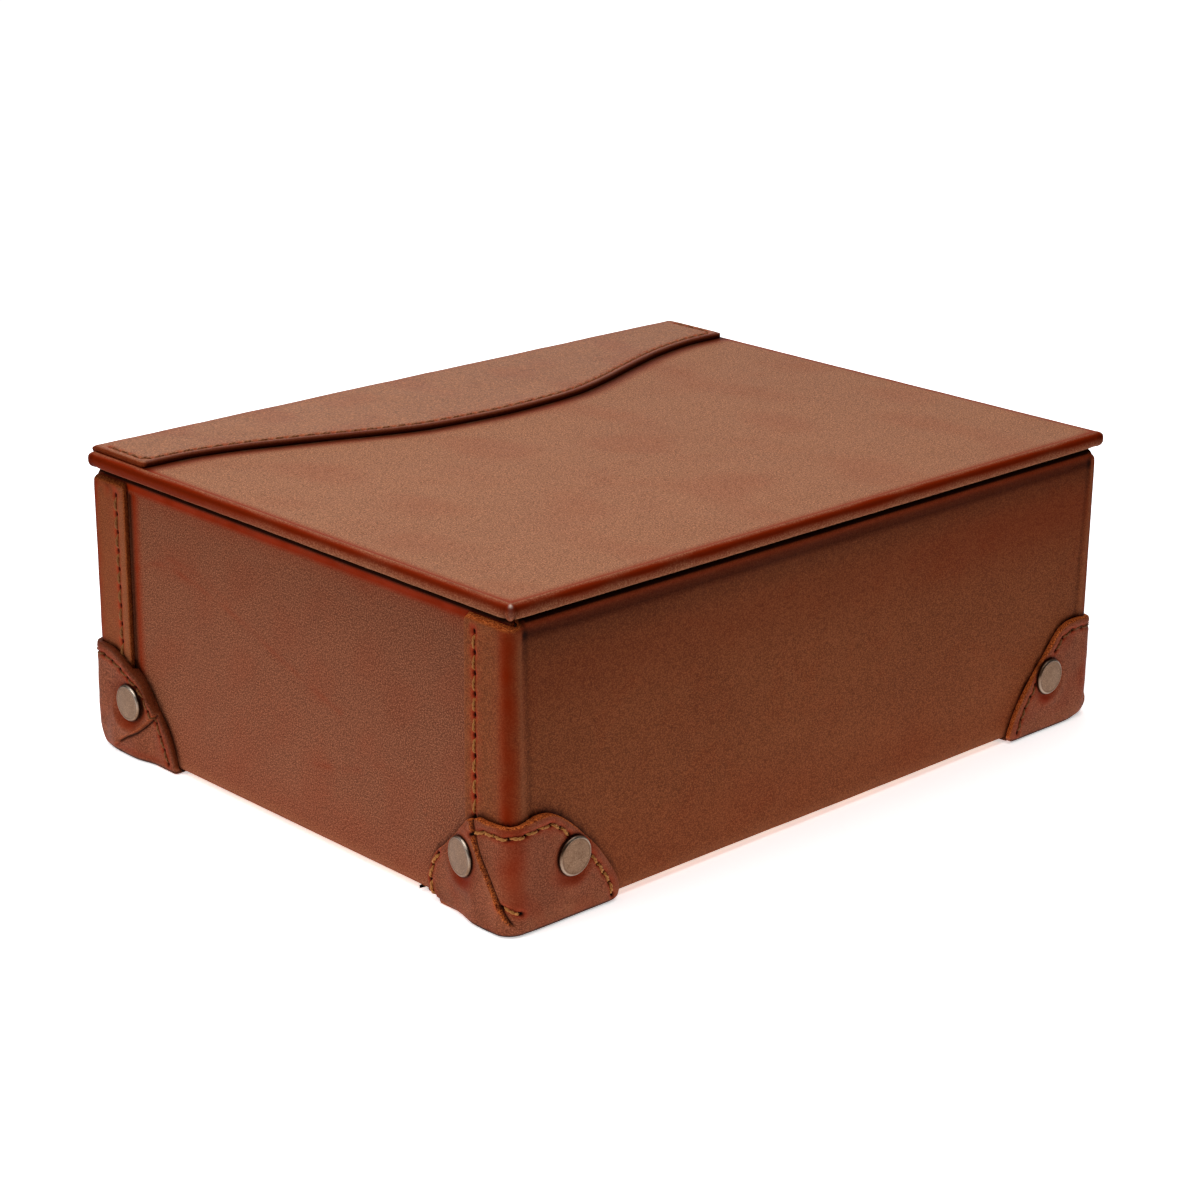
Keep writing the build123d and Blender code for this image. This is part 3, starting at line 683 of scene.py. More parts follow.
def fabric_material(name, dark, light, rough, nap=0.5, sheen=0.35, fine=2.4):
    """Suede lining or felt: short nap with brushed light and dark patches."""
    M = Mat(name)
    p = M.coords(M.attr("pat", vector=True), 1.0)
    brush = M.noise(p, 0.030, 4, 0.6, 1.2)
    mid = M.noise(p, 0.16, 4, 0.6, 0.6)
    nn = M.noise(p, fine, 3, 0.7)
    fib = M.noise(M.coords(p, (0.9, 2.8, 1.0)), 1.1, 4, 0.7, 0.4)
    t = M.math("ADD", M.math("MULTIPLY", brush, 0.55), M.math("MULTIPLY", mid, 0.45))
    c = M.mix(M.ramp(t, 0.38, 0.62), dark, light)
    c = M.mix(M.math("MULTIPLY", M.ramp(nn, 0.35, 0.7), nap), c, tuple(x * 0.6 for x in dark))
    c = M.mix(M.attr("dark"), c, tuple(x * 0.3 for x in dark))
    M.link(c, socket(M.b, "Base Color"))
    M.link(M.ramp(nn, 0.3, 0.7, rough - 0.05, min(1.0, rough + 0.05)), socket(M.b, "Roughness"))
    M.val("Specular IOR Level", 0.12)
    M.val("Sheen Weight", sheen)
    M.val("Sheen Roughness", 0.5)
    h = M.math("ADD", M.math("MULTIPLY", nn, 0.6), M.math("MULTIPLY", fib, 0.6))
    M.link(M.bump(h, 0.5, 0.0003), socket(M.b, "Normal"))
    return M.m


mat_thread = thread_material("waxed_thread", srgb(152, 84, 34), srgb(246, 170, 90), srgb(166, 96, 44))
mat_flap_thread = thread_material("strap_thread", srgb(132, 78, 44), srgb(196, 128, 84), srgb(140, 84, 50))
mat_metal = metal_material()
mat_board = object_material("fibreboard", srgb(120, 92, 66), srgb(156, 124, 92), 0.8, "board")
mat_suede = fabric_material("suede_lining", srgb(74, 48, 36), srgb(104, 70, 52), 0.9)
mat_pad = fabric_material("base_pad_felt", srgb(14, 10, 8), srgb(24, 18, 15), 0.92, nap=0.3, sheen=0.0, fine=1.6)

# ------------------------------------------------------------------- dimensions
HX, HY = 125.0, 96.5
Z0, WALL_TOP, STRIP_TOP = 1.9, 90.2, 87.8
T = 1.8
BX, BY, IX, IY = 121.4, 94.7, 117.4, 90.7
RC = 3.6
SEAM_S, SEAM_PITCH, SEAM_N, SEAM_LOW = 14.6, 5.9, 9, 31.0
ROT = np.diag([-1.0, -1.0, 1.0])
MIRX = np.diag([-1.0, 1.0, 1.0])
MIRY = np.diag([1.0, -1.0, 1.0])

# The corner guards' outlines: u along the box from the corner (+ on the front or
# back, - on the side), v up.
top_near = spline([(39.0, 3.2), (38.5, 6.2), (36.6, 10.2), (34.6, 13.2), (31.9, 16.9), (28.7, 20.6), (25.6, 23.7), (22.6, 26.6), (19.3, 29.5), (15.8, 31.9),
                   (12.2, 33.4), (8.3, 33.6), (4.7, 32.8), (1.8, 32.3), (-0.4, 32.1), (-2.9, 32.1), (-6.6, 31.8), (-9.3, 31.7), (-11.4, 31.9), (-12.9, 31.5)], 0.7)
brow_near = spline([(-14.3, 30.6), (-15.7, 30.4), (-17.6, 28.4), (-20.7, 25.2), (-24.2, 21.9), (-27.7, 18.4), (-31.2, 15.4), (-33.3, 11.5), (-34.6, 7.2), (-34.4, 3.6)], 0.7)
outline_near = np.vstack([[(0.0, 0.0), (35.2, 0.0), (36.9, 0.45), (38.4, 1.5)], top_near, [(-13.4, 30.9)], brow_near, [(-33.6, 2.6), (-31.6, 1.7), (-26.0, 1.3), (-18.0, 1.1), (-11.5, 0.35), (-8.0, 0.0)]])
top_far = spline([(39.4, 2.6), (38.4, 5.2), (36.5, 9.0), (33.6, 13.6), (30.2, 17.8), (27.0, 21.4), (23.6, 24.9), (20.6, 28.2), (18.0, 31.2), (15.2, 33.4), (11.0, 34.7),
                  (5.8, 34.7), (2.0, 34.2), (-1.0, 33.6), (-5.5, 33.4), (-9.5, 33.4), (-12.5, 32.6)], 0.7)
brow_far = spline([(-14.2, 31.5), (-16.5, 30.2), (-20.7, 26.2), (-24.5, 22.2), (-28.4, 18.0), (-32.0, 14.0), (-34.4, 9.8), (-35.6, 6.0), (-35.4, 3.0)], 0.7)
outline_far = np.vstack([[(0.0, 0.0), (36.4, 0.0), (38.2, 0.4), (39.3, 1.3)], top_far, [(-13.4, 31.9)], brow_far, [(-34.4, 1.2), (-32.6, 0.2), (-31.4, 0.0)]])
side_bl = spline([(-39.6, 3.0), (-38.6, 6.4), (-36.4, 11.6), (-32.6, 17.0), (-28.8, 21.6), (-24.6, 26.4), (-18.4, 30.3), (-12.1, 33.3), (-8.6, 34.2), (-4.0, 34.5), (0.0, 34.2)], 0.7)[::-1]
side_bl = side_bl + np.column_stack([1.2 * sstep(-side_bl[:, 0], 5, 25), np.zeros(len(side_bl))])
top_bl = spline([(39.0, 3.2), (38.2, 6.2), (36.2, 10.2), (33.2, 14.2), (29.2, 19.6), (25.6, 23.7), (21.6, 27.6), (17.3, 31.2), (12.2, 33.6), (6.3, 34.2), (2.0, 34.1)], 0.7)
outline_bl = np.vstack([[(0.0, 0.0), (35.2, 0.0), (36.9, 0.45), (38.4, 1.5)], top_bl, side_bl[1:], [(-38.9, 1.2), (-37.4, 0.3), (-36.0, 0.0)]])


def by_guard(outline, g, v, w=0.85):
    """How close a point of the box's leather is to a guard's edge, from outside it."""
    out = np.zeros(len(g))
    m = (np.abs(g) < 46) & (v < 40)
    if m.any():
        P = np.stack([g[m], v[m]], 1)
        d = near(P, resample(outline, 0.5))[0]
        out[m] = np.where(inside(P, outline), 1.0, bell(d, 0, w))
    return out


UA = HX - RC                      # the corner bend starts here
UB = UA + RC * math.pi / 2        # and ends here
UE = UB + (18.8 - RC)             # cut edge of the side strip
UE_BACK = UB + (17.4 - RC)        # the back's strips are narrower


def front_map(u, v):
    """Front leather: outside face, both corners, the strips and the fold over the wall top."""
    s = np.sign(u)
    a = np.abs(u)
    ang = np.clip((a - UA) / RC, 0, math.pi / 2)
    run = np.maximum(a - UB, 0)
    x = s * (np.minimum(a, UA) + RC * np.sin(ang))
    y = -HY + RC * (1 - np.cos(ang)) + run
    nx, ny = s * np.sin(ang), -np.cos(ang)
    O = np.stack([x, y, np.minimum(v, 88.4)], 1)
    n = np.stack([nx, ny, np.zeros_like(x)], 1)
    th = np.full(len(u), T)
    L1, L2, L3 = 88.4, 88.4 + 1.8 * math.pi / 2, 0
    m = v > L1
    al = np.clip((v - L1) / 1.8, 0, math.pi / 2)
    O[m, 1] = -BY - 1.8 * np.cos(al[m])
    O[m, 2] = 88.4 + 1.8 * np.sin(al[m])
    n[m] = np.stack([np.zeros(m.sum()), -np.cos(al[m]), np.sin(al[m])], 1)
    th[m] = 1.7
    m = v > L2
    O[m, 1] = -BY + (v[m] - L2)
    O[m, 2] = WALL_TOP
    n[m] = (0, 0, 1)
    th[m] = 1.6
    L3 = L2 + 4.0
    m = v > L3
    be = np.clip((v - L3) / 1.0, 0, math.pi / 2)
    O[m, 1] = -IY + np.sin(be[m])
    O[m, 2] = 89.2 + np.cos(be[m])
    n[m] = np.stack([np.zeros(m.sum()), np.sin(be[m]), np.cos(be[m])], 1)
    th[m] = 0.95
    L4 = L3 + math.pi / 2
    m = v > L4
    O[m, 1] = -IY + 1.0
    O[m, 2] = 89.2 - (v[m] - L4)
    n[m] = (0, 1, 0)
    return O, n, th


V_TOP = 88.4 + 1.8 * math.pi / 2 + 4.0 + math.pi / 2 + 13.2
V_FOLD2 = 88.4 + 1.8 * math.pi / 2 + 4.0


def strip_rows(seed, shift):
    rows = []
    for sg in (-1, 1):
        u = sg * (UB + SEAM_S - shift - RC)
        z1 = SEAM_LOW + SEAM_N * SEAM_PITCH
        rows.append(Row([(u, SEAM_LOW), (u, z1)], count=SEAM_N, seed=seed + (sg > 0), gap=2.0, slant=0.12))
    return rows


def body_wrap(name, node, seed, matrix, end, guards):
    rows = strip_rows(seed, UE - end)
    old = seed > 50

    def disp(u, v, e):
        a = np.abs(u)
        s = a - (UA + UB) / 2                       # from the corner's middle, + on the strip
        outside = sstep(v, 96, 92)
        d = (0.10 * waves(u, v, 70, seed) + 0.05 * waves(u, v, 24, seed + 5)) * sstep(a, 131, 124) * outside
        crease = 3.1 + (86 - np.clip(v, 0, 90)) * 0.042 + 0.25 * waves(v, v * 0, 30, seed + 4)
        inner = -s                                   # + on the front face
        d += 0.22 * (1 - sstep(inner, crease - 1.5, crease + 1.1)) * sstep(s, 6.5, 4.0) * sstep(v, 90, 84)
        d += -0.06 * bell(inner, crease + 1.5, 0.9) * sstep(v, 90, 84) * (inner > 0)
        d += -0.16 * bell(v, 15 + 0.012 * u, 2.4) * sstep(u * (1 if seed < 50 else -1), -60, 70) * (a < UA)
        d += 0.05 * waves(u * 0.25, v, 7, seed + 9) * bell(v, 84, 9) * sstep(a, UA, UA - 12)
        d += channel(rows, u, v, 0.20, 0.07)
        d += 0.05 * bell(e, 1.2, 0.8) * (a > UB)
        return d

    def paint(u, v, e):
        a = np.abs(u)
        s = a - (UA + UB) / 2
        # the corner's red band is partly the bend's own colour and partly painted shade and dark reflection
        red = 0.96 * bell(s, 0.9, 2.9) * (0.85 + 0.15 * waves(u, v, 9, seed + 21)) * sstep(v, 91, 86)
        red += 0.13 * sstep(v, 34, 8) * (a < UA) * (0.6 + 0.4 * waves(u, v, 30, seed + 2))
        # painted shade: red on the fold under the lid, and redder in the upper part of the face, more towards one end
        red += (0.38 * bell(v, 86.2, 2.0) + 0.5 * bell(v, 88.5, 1.2)) * (a < UA + 1)
        red += (0.14 + 0.20 * sstep(u, 0, 110)) * bell(v, 73, 12) * (a < UA)
        halo, hole = stitch_paint(rows, u, v)
        # painted highlight on the ridge beside the corner bend
        pale = 0.40 * bell(-s, 2.2 + (86 - v) * 0.030, 0.9) * (a < UA + 2) * sstep(v, 90, 85)
        # painted shade: darker under the lid's overhang and towards the top, near-black in the gap under the lid, along
        # the crease beside the corner and on the corner's band
        dark = (0.62 * bell(v, 85.8, 1.8) + 0.16 * bell(v, 82.0, 3.4) + 0.10 * sstep(v, 55, 78)) * (a < UA) + 0.93 * sstep(v, 88.7, 89.4) * sstep(v, 92.6, 91.3) * (a < UA + 3) + 0.30 * bell(-s, 4.3 + (86 - v) * 0.042, 0.9) * (v < 88)
        dark += 0.20 * bell(s, 0.9, 1.5) * (v < 86)
        # painted shade inside the box, and a dark line along the bottom edge
        dark += 0.5 * sstep(v, 98, 104)
        dark += 0.22 * (1 - sstep(v, 1.9, 2.6))
        if old:
            # on the back's strips the top is worn and stained, and the cut edge is dark
            near_top = sstep(v, 80, 86) * (a > UB)
            red += 0.55 * near_top * np.clip(0.5 + 0.6 * waves(u, v, 5, seed + 8), 0, 1) + 0.18 * bell(s, 9.0, 2.6)
            dark += 0.4 * near_top * np.clip(waves(u, v, 4, seed + 9), 0, 1)
            pale += 0.45 * bell(a, end - 1.8, 0.9) * (v < 84) + 0.16 * (a > UB)
        # painted highlight along the bottom edge
        pale += 0.45 * bell(v, 3.3, 1.1) * (a < UB)
        # painted shadow along the guards' edges, and dark under them
        g = -s
        g = g + 0.78 * np.clip(g / 2.83, -1, 1)
        for sg, outl in guards.items():
            m = np.sign(u) == sg
            by = np.zeros(len(u))
            by[m] = by_guard(outl, g[m], v[m])
            dark += 1.0 * by
            halo = halo * (1 - by)
        return {"red": np.clip(red, 0, 1), "halo": halo, "hole": hole, "pale": np.clip(pale, 0, 1), "dark": np.clip(dark, 0, 0.94)}

    def mapfn(u, v):
        O, n, th = front_map(u, np.clip(v, 0, 400))
        return O, n, th

    tab = 121.25
    outline = rounded(
        [(-end, Z0), (end, Z0), (end, STRIP_TOP), (tab + 0.75, STRIP_TOP - 0.1), (tab, 89.4), (tab, V_FOLD2 - 0.2), (IX - 0.2, V_FOLD2 + 0.5),
         (IX - 0.2, V_TOP), (-IX + 0.2, V_TOP), (-IX + 0.2, V_FOLD2 + 0.5), (-tab, V_FOLD2 - 0.2), (-tab, 89.4), (-tab - 0.75, STRIP_TOP - 0.1), (-end, STRIP_TOP)],
        [0.7, 0.7, 0.9, 0.4, 0.3, 0.6, 0.4, 0.8, 0.8, 0.4, 0.6, 0.3, 0.4, 0.9])
    extra = [r.points() for r in rows]
    # closer points round the corners and over the fold
    vv = np.arange(2.6, 87.2, 1.3)
    for sg in (-1, 1):
        for uu in np.arange(UA - 9, UB + 2.4, 0.7):
            extra.append(np.stack([np.full_like(vv, sg * uu), vv + 0.65 * (int(uu * 10) % 2)], 1))
    uu = np.arange(-119.5, 119.6, 1.5)
    for v in np.arange(88.0, V_FOLD2 + 2.2, 0.42):
        extra.append(np.stack([uu, np.full_like(uu, v)], 1))
    bag = Bag()
    leather_sheet(bag, outline, 1.3, mapfn, disp, paint, rt=0.42, bands=(0.6,), extra=np.vstack(extra), grid=1.9, seed=seed * 3.1)
    # the strips' top edge is cut on a slope: the outer side is lower
    co, att = bag.co[0], bag.att[0]
    if old:
        # painted shade: the back wrap's cut edges are darkened
        att["dark"] = np.maximum(att["dark"], 0.72 * att["raw"])
    pat = att["pat"]
    m = (np.abs(pat[:, 0]) > tab + 0.9) & (pat[:, 1] > 85.6)
    depth = np.clip(pat[:, 2] - seed * 3.1, 0, T)
    co[m, 2] += (1.5 * depth / T - 0.55)[m] * sstep(pat[m, 1], 85.6, 87.6) * sstep(np.abs(pat[m, 0]), tab + 0.9, tab + 2.4)
    ob = bag.obj(name, mat_body, matrix=matrix)
    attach(ob, "box")
    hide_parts(node)
    return rows, mapfn, disp


SX = HX - T                       # outer face of the side leather


def side_map(u, v):
    """Left side leather; u runs towards the front."""
    O = np.stack([np.full(len(u), -SX), -u, np.minimum(v, 88.4)], 1)
    n = np.tile((-1.0, 0.0, 0.0), (len(u), 1))
    th = np.full(len(u), T)
    m = v > 88.4
    al = np.clip((v - 88.4) / 1.8, 0, math.pi / 2)
    O[m, 0] = -BX - 1.8 * np.cos(al[m])
    O[m, 2] = 88.4 + 1.8 * np.sin(al[m])
    n[m] = np.stack([-np.cos(al[m]), np.zeros(m.sum()), np.sin(al[m])], 1)
    th[m] = 1.7
    L2 = 88.4 + 1.8 * math.pi / 2
    m = v > L2
    O[m, 0] = -BX + (v[m] - L2)
    O[m, 2] = WALL_TOP
    n[m] = (0, 0, 1)
    th[m] = 1.6
    L3 = L2 + 4.0
    m = v > L3
    be = np.clip(v - L3, 0, math.pi / 2)
    O[m, 0] = -IX + np.sin(be[m])
    O[m, 2] = 89.2 + np.cos(be[m])
    n[m] = np.stack([np.sin(be[m]), np.zeros(m.sum()), np.cos(be[m])], 1)
    th[m] = 0.95
    L4 = L3 + math.pi / 2
    m = v > L4
    O[m, 0] = -IX + 1.0
    O[m, 2] = 89.2 - (v[m] - L4)
    n[m] = (1, 0, 0)
    return O, n, th


def side_panel(name, node, seed, matrix, front_guard, back_guard):
    scuff = [spline([(-77, 62), (-60, 66.5), (-28, 60), (0, 50), (22, 43.5)]), spline([(-60, 69), (-44, 68), (-30, 63)]),
             spline([(10, 24), (26, 27), (41, 33)])]

    def disp(u, v, e):
        outside = sstep(v, 96, 92)
        d = (0.11 * waves(u, v, 62, seed) + 0.05 * waves(u, v, 22, seed + 5)) * outside
        d += 0.05 * waves(u * 0.3, v, 8, seed + 3) * bell(v, 84, 8)
        d += -0.10 * bell(v, 14, 2.2) * sstep(u, 60, -40)
        return d * sstep(np.abs(u), 77, 70) * sstep(e, 0.0, 1.5)

    def paint(u, v, e):
        a = np.abs(u)
        # painted shade and reflection: a red band on the fold under the lid's gap
        red = np.clip(1.4 * bell(v, 87.5, 1.35), 0, 1) * (0.93 + 0.07 * waves(u, v, 12, seed + 1)) + 0.16 * bell(v, 84.5, 2.5)
        red += 0.09 * np.clip(waves(u, v, 26, seed + 2), 0, 1)
        P = np.stack([u, v], 1)
        for i, c in enumerate(scuff):
            d, _ = near(P, c)
            red += (0.26, 0.16, 0.20)[i] * bell(d, 0, 1.1) * (0.6 + 0.4 * waves(u, v, 11, seed + 30 + i))
        red += 0.14 * sstep(v, 22, 3)
        # painted shade inside the box, along the bottom, in the gap under the lid and towards the top
        dark = 0.5 * sstep(v, 98, 104) + 0.22 * (1 - sstep(v, 1.9, 2.6)) + 0.93 * sstep(v, 88.2, 88.8) * sstep(v, 92.6, 91.3) + 0.05 * sstep(v, 60, 82)
        # painted shadow and red beside the strips' raised cut edges
        dark += 0.45 * bell(u, 77.5, 0.7) * (v < 88) + 0.85 * bell(u, -78.4, 1.3) * (v < 85.5)
        red += 0.75 * bell(u, -76.2, 1.8) * (v < 86)
        # painted shadow along the guards' edges, and dark under them
        dark += 1.0 * by_guard(front_guard, -(HY - u), v, 1.0) + 0.85 * by_guard(back_guard, -(HY + u), v, 1.1)
        # painted highlight along the bottom edge, and a painted orange band under the lid's gap
        pale = 0.42 * bell(v, 3.3, 1.1)
        halo = 0.30 * bell(v, 87.4, 0.9) * np.clip(0.6 + 0.6 * waves(u, v, 9, seed + 4), 0, 1)
        return {"red": np.clip(red, 0, 1), "halo": halo, "pale": pale, "dark": np.clip(dark, 0, 0.94)}

    w0, w1 = BY - 0.35, IY - 0.25
    w2 = IY - 1.15
    vt = 88.4 + 1.8 * math.pi / 2
    outline = rounded([(-w0, Z0), (w0, Z0), (w0, vt - 0.1), (w1, vt + 0.35), (w1, V_FOLD2), (w2, V_FOLD2 + 0.7), (w2, V_TOP),
                       (-w2, V_TOP), (-w2, V_FOLD2 + 0.7), (-w1, V_FOLD2), (-w1, vt + 0.35), (-w0, vt - 0.1)],
                      [0.7, 0.7, 0.5, 0.3, 0.4, 0.3, 0.8, 0.8, 0.3, 0.4, 0.3, 0.5])
    extra = []
    for c in scuff:
        c = resample(c, 1.0, closed=False)
        for k in (-1.4, -0.7, 0.0, 0.7, 1.4):
            extra.append(c + (0, k))
    uu = np.arange(-91.5, 91.6, 1.5)
    for v in np.arange(86.8, V_FOLD2 + 2.2, 0.42):
        extra.append(np.stack([uu[np.abs(uu) < (w0 - 1 if v < vt - 0.5 else w1 - 1)], np.full((np.abs(uu) < (w0 - 1 if v < vt - 0.5 else w1 - 1)).sum(), v)], 1))
    vv = np.arange(3.0, 87, 1.3)
    for sg in (-1, 1):
        for x in (75.2, 76.2, 77.2, 78.2):
            extra.append(np.stack([np.full_like(vv, sg * x), vv], 1))
    bag = Bag()
    leather_sheet(bag, outline, 1.4, side_map, disp, paint, rt=0.42, bands=(0.6,), extra=np.vstack(extra), grid=1.9, seed=seed * 3.1)
    ob = bag.obj(name, mat_side, matrix=matrix)
    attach(ob, "box")
    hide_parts(node)


front_rows, front_mapfn, front_disp = body_wrap("front_wrap", "front_leather", 11, None, UE, {-1: outline_near, 1: outline_far})
back_rows, back_mapfn, back_disp = body_wrap("back_wrap", "back_leather", 57, ROT, UE_BACK, {-1: outline_far, 1: outline_bl})
side_panel("left_panel", "left_leather", 23, None, outline_near, outline_bl)
side_panel("right_panel", "right_leather", 71, ROT, outline_far, outline_far)

bag_f, bag_b = Bag(), Bag()
for i, r in enumerate(front_rows):
    threads(bag_f, r, front_mapfn, front_disp, seed=100 + i, radius=0.25, rise=0.26)
for i, r in enumerate(back_rows):
    threads(bag_b, r, back_mapfn, back_disp, seed=110 + i, radius=0.30, rise=0.28)
merged = Bag()
for c, a in zip(bag_f.co, bag_f.att):
    a["stain"] = np.zeros(len(c))
    merged.co.append(c)
    merged.att.append(a)
merged.faces = list(bag_f.faces)
merged.n = bag_f.n
for c, a in zip(bag_b.co, bag_b.att):
    a["stain"] = np.full(len(c), 0.55)
    merged.co.append(c @ ROT.T)
    merged.att.append(a)
merged.faces += [f + bag_f.n for f in bag_b.faces]
ob = merged.obj("seam_stitches", mat_thread)
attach(ob, "box")
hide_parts("side_seam_threads")

# ------------------------------------------------------------------- lid leather
LX, LY0, LY1 = 126.3, -97.8, 96.5
LZ0, LZ1, LR, LE = 90.5, 95.3, 3.0, 2.3
LCY, LHY = (LY0 + LY1) / 2, (LY1 - LY0) / 2


def lid_ring(inset, n_side=(150, 116), n_arc=12):
    """The lid's outline, moved in by inset, always with the same points in the same order."""
    r = max(LR - inset, 0.25)
    hx, hy = LX - inset - r, LHY - inset - r
    pts, par = [], []
    corners = [(1, -1, -90), (1, 1, 0), (-1, 1, 90), (-1, -1, 180)]
    sides = [n_side[1], n_side[0], n_side[1], n_side[0]]
    for q, (sx, sy, a0) in enumerate(corners):
        for i in range(n_arc):
            f = i / n_arc
            a = math.radians(a0 + 90 * f)
            pts.append((sx * hx + r * math.cos(a), sy * hy + r * math.sin(a)))
            par.append((q, f))
        nx_, ny_ = corners[(q + 1) % 4][:2]
        p0 = (sx * hx + r * math.cos(math.radians(a0 + 90)), sy * hy + r * math.sin(math.radians(a0 + 90)))
        p1 = (nx_ * hx + r * math.cos(math.radians(a0 + 90)), ny_ * hy + r * math.sin(math.radians(a0 + 90)))
        for i in range(sides[q]):
            f = i / sides[q]
            pts.append((p0[0] + (p1[0] - p0[0]) * f, p0[1] + (p1[1] - p0[1]) * f))
            par.append((q, 1 + f))
    P = np.array(pts)
    P[:, 1] += LCY
    return P, np.array(par)


SW = 124.0                        # half the strap's width
wave = [(0.0, 42.8), (16.0, 43.5), (33.0, 45.8), (50.0, 51.0), (62.0, 55.6), (77.0, 61.2), (90.0, 65.4), (107.0, 68.8), (SW, 69.4)]
FLAP_WAVE = wave = spline([(-x, y) for x, y in wave[::-1][:-1]] + wave, 1.0)


def build_lid():
    R0, par = lid_ring(0)
    N = len(R0)
    # signed distance along the edge from the nearest corner's middle
    cor = np.array([(LX - LR, LY0 + LR), (LX - LR, LY1 - LR), (-LX + LR, LY1 - LR), (-LX + LR, LY0 + LR)])
    q, f = par[:, 0].astype(int), par[:, 1]
    span = np.array([2 * (LHY - LR), 2 * (LX - LR), 2 * (LHY - LR), 2 * (LX - LR)])[q]
    arc = LR * math.pi / 2
    s_next = np.where(f < 1, (f - 0.5) * arc, 0.5 * arc + (f - 1) * span)
    s_prev = np.where(f < 1, (f - 0.5) * arc, (f - 1) * span - span - 0.5 * arc)
    s = np.where(np.abs(s_next) < np.abs(s_prev), s_next, s_prev)
    cid = np.where(np.abs(s_next) < np.abs(s_prev), q, (q + 1) % 4)
    rings, att = [], {"red": [], "pale": [], "dark": [], "worn": [], "pat": [], "raw": [], "shine": []}
    nx = R0 - lid_ring(1.0)[0]
    nx /= np.linalg.norm(nx, axis=1)[:, None]
    cum = np.concatenate([[0], np.cumsum(np.linalg.norm(np.diff(R0, axis=0), axis=1))])
    prof = [(LE * (1 - math.sin(math.radians(a))), LZ1 - LE * (1 - math.cos(math.radians(a))), a) for a in np.linspace(9, 90, 9)]
    prof += [(LE * (1 - math.cos(math.radians(b))), LZ0 + LE * (1 - math.sin(math.radians(b))), 90 + b) for b in np.linspace(6, 90, 9)]
    prof += [(x, LZ0, 200) for x in (4.0, 6.5, 9.5, 12.0, 12.7)] + [(13.0, LZ0 + 0.35, 201), (13.0, LZ0 + 1.15, 202)]
    inner = [(9.0, LZ0 + 1.2), (4.0, LZ0 + 1.2), (2.2, LZ0 + 1.3), (1.35, LZ0 + 2.4), (2.2, LZ1 - 1.3), (3.2, LZ1 - 1.2)]
    top0 = lid_ring(LE)[0]
    pleat = np.zeros(N)
    for k, (c0, w, am) in enumerate(((-2.9, 0.55, 0.10), (1.75, 0.5, 0.42), (-1.75, 0.5, 0.42), (2.9, 0.6, 0.10), (4.4, 0.9, 0.07), (-4.6, 0.9, 0.07))):
        pleat += am * bell(s + 0.25 * np.sin(cid * 2.1 + k), c0, w)
    blob = 0.60 * bell(s, 0, 1.3)
    length = 0.0
    prev = None
    for inset, z, a in prof:
        P = lid_ring(inset)[0]
        if a <= 180:
            t = math.sin(math.radians(a))
            away = np.array([math.sin(math.radians(a)), math.cos(math.radians(a))])
            fold = pleat * (sstep(a, 20, 60) * 0.55 + sstep(a, 95, 150) * 0.8) - blob * np.maximum(bell(a, 62, 40), 0.8 * bell(a, 100, 60))
            fold = fold + (0.05 * waves(cum, np.zeros(N) + a * 0.05, 26, 5) + 0.03 * waves(cum, np.zeros(N) + a * 0.1, 9, 6)) * t
            P = P - nx * (fold * away[0])[:, None]
            zz = z - fold * away[1]
        else:
            zz = np.full(N, z) + (0.04 * waves(cum, np.zeros(N) + inset, 14, 8) + 0.10 * bell(s, 0, 5) * np.sin(s * 3.0)) * (a == 200)
        co = np.column_stack([P, np.broadcast_to(zz, (N,))])
        if prev is not None:
            length += float(np.median(np.linalg.norm(co - prev, axis=1)))
        prev = co
        rings.append(co)
        wob = 0.85 + 0.15 * waves(cum, np.zeros(N), 17, 12)
        # painted shade and reflection on the lid's edge: red and dark where it reflects the dark studio, a pale band
        # low down for the bright floor, redder and darker low down on the back half, near-black underneath at the gap
        # and darker in the pleats
        red = np.clip((1.35 * bell(a, 52, 40) + 0.32 * bell(a, 112, 30)) * wob, 0, 1) if a <= 180 else np.full(N, 0.2)
        red = np.maximum(red, 0.5 * bell(s, 0, 2.6) * (a <= 180))
        back = sstep(R0[:, 1], -30, 70) * bell(a, 112, 42)
        red = np.clip(red + 0.75 * back, 0, 1)
        att["red"].append(np.broadcast_to(red, (N,)))
        att["pale"].append(0.14 * bell(a, 112, 24) * (0.9 + 0.1 * waves(cum, np.zeros(N), 21, 13)) * (1 - bell(s, 0, 3)) if a <= 180 else np.zeros(N))
        att["dark"].append(np.clip(np.full(N, 0.0) + (0.88 * sstep(a, 141, 169) + 0.40 * bell(a, 62, 22) + 0.13 * bell(a, 112, 30) + 0.22 * (bell(s, 1.9, 0.45) + bell(s, -1.9, 0.45)) * bell(a, 60, 45) if a <= 180 else 0.5) + 0.45 * pleat / 0.3 * bell(a, 140, 40) + 0.22 * back, 0, 0.95))
        att["worn"].append(bell(s, 0.2, 1.6) * bell(a, 42, 26) if a <= 180 else np.zeros(N))
        att["raw"].append(np.full(N, {201: 0.6, 202: 1.0}.get(a, 0.0)))
        # shine: a painted glint on each corner
        att["shine"].append(0.95 * bell(s, 0.0, 0.5) * bell(a, 42, 11) + 0.06 * bell(s, 0.1, 0.6) * bell(a, 95, 35) if a <= 180 else np.zeros(N))
        att["pat"].append(np.column_stack([cum, np.full(N, 400 + length), np.full(N, 7.0)]))
    for inset, z in inner:
        P = lid_ring(inset)[0]
        rings.append(np.column_stack([P, np.full(N, z)]))
        for k in ("red", "pale", "dark", "worn", "shine"):
            att[k].append(np.zeros(N))
        att["raw"].append(np.full(N, 0.8))
        att["pat"].append(np.column_stack([cum, np.full(N, 500 + z), np.full(N, 9.0)]))
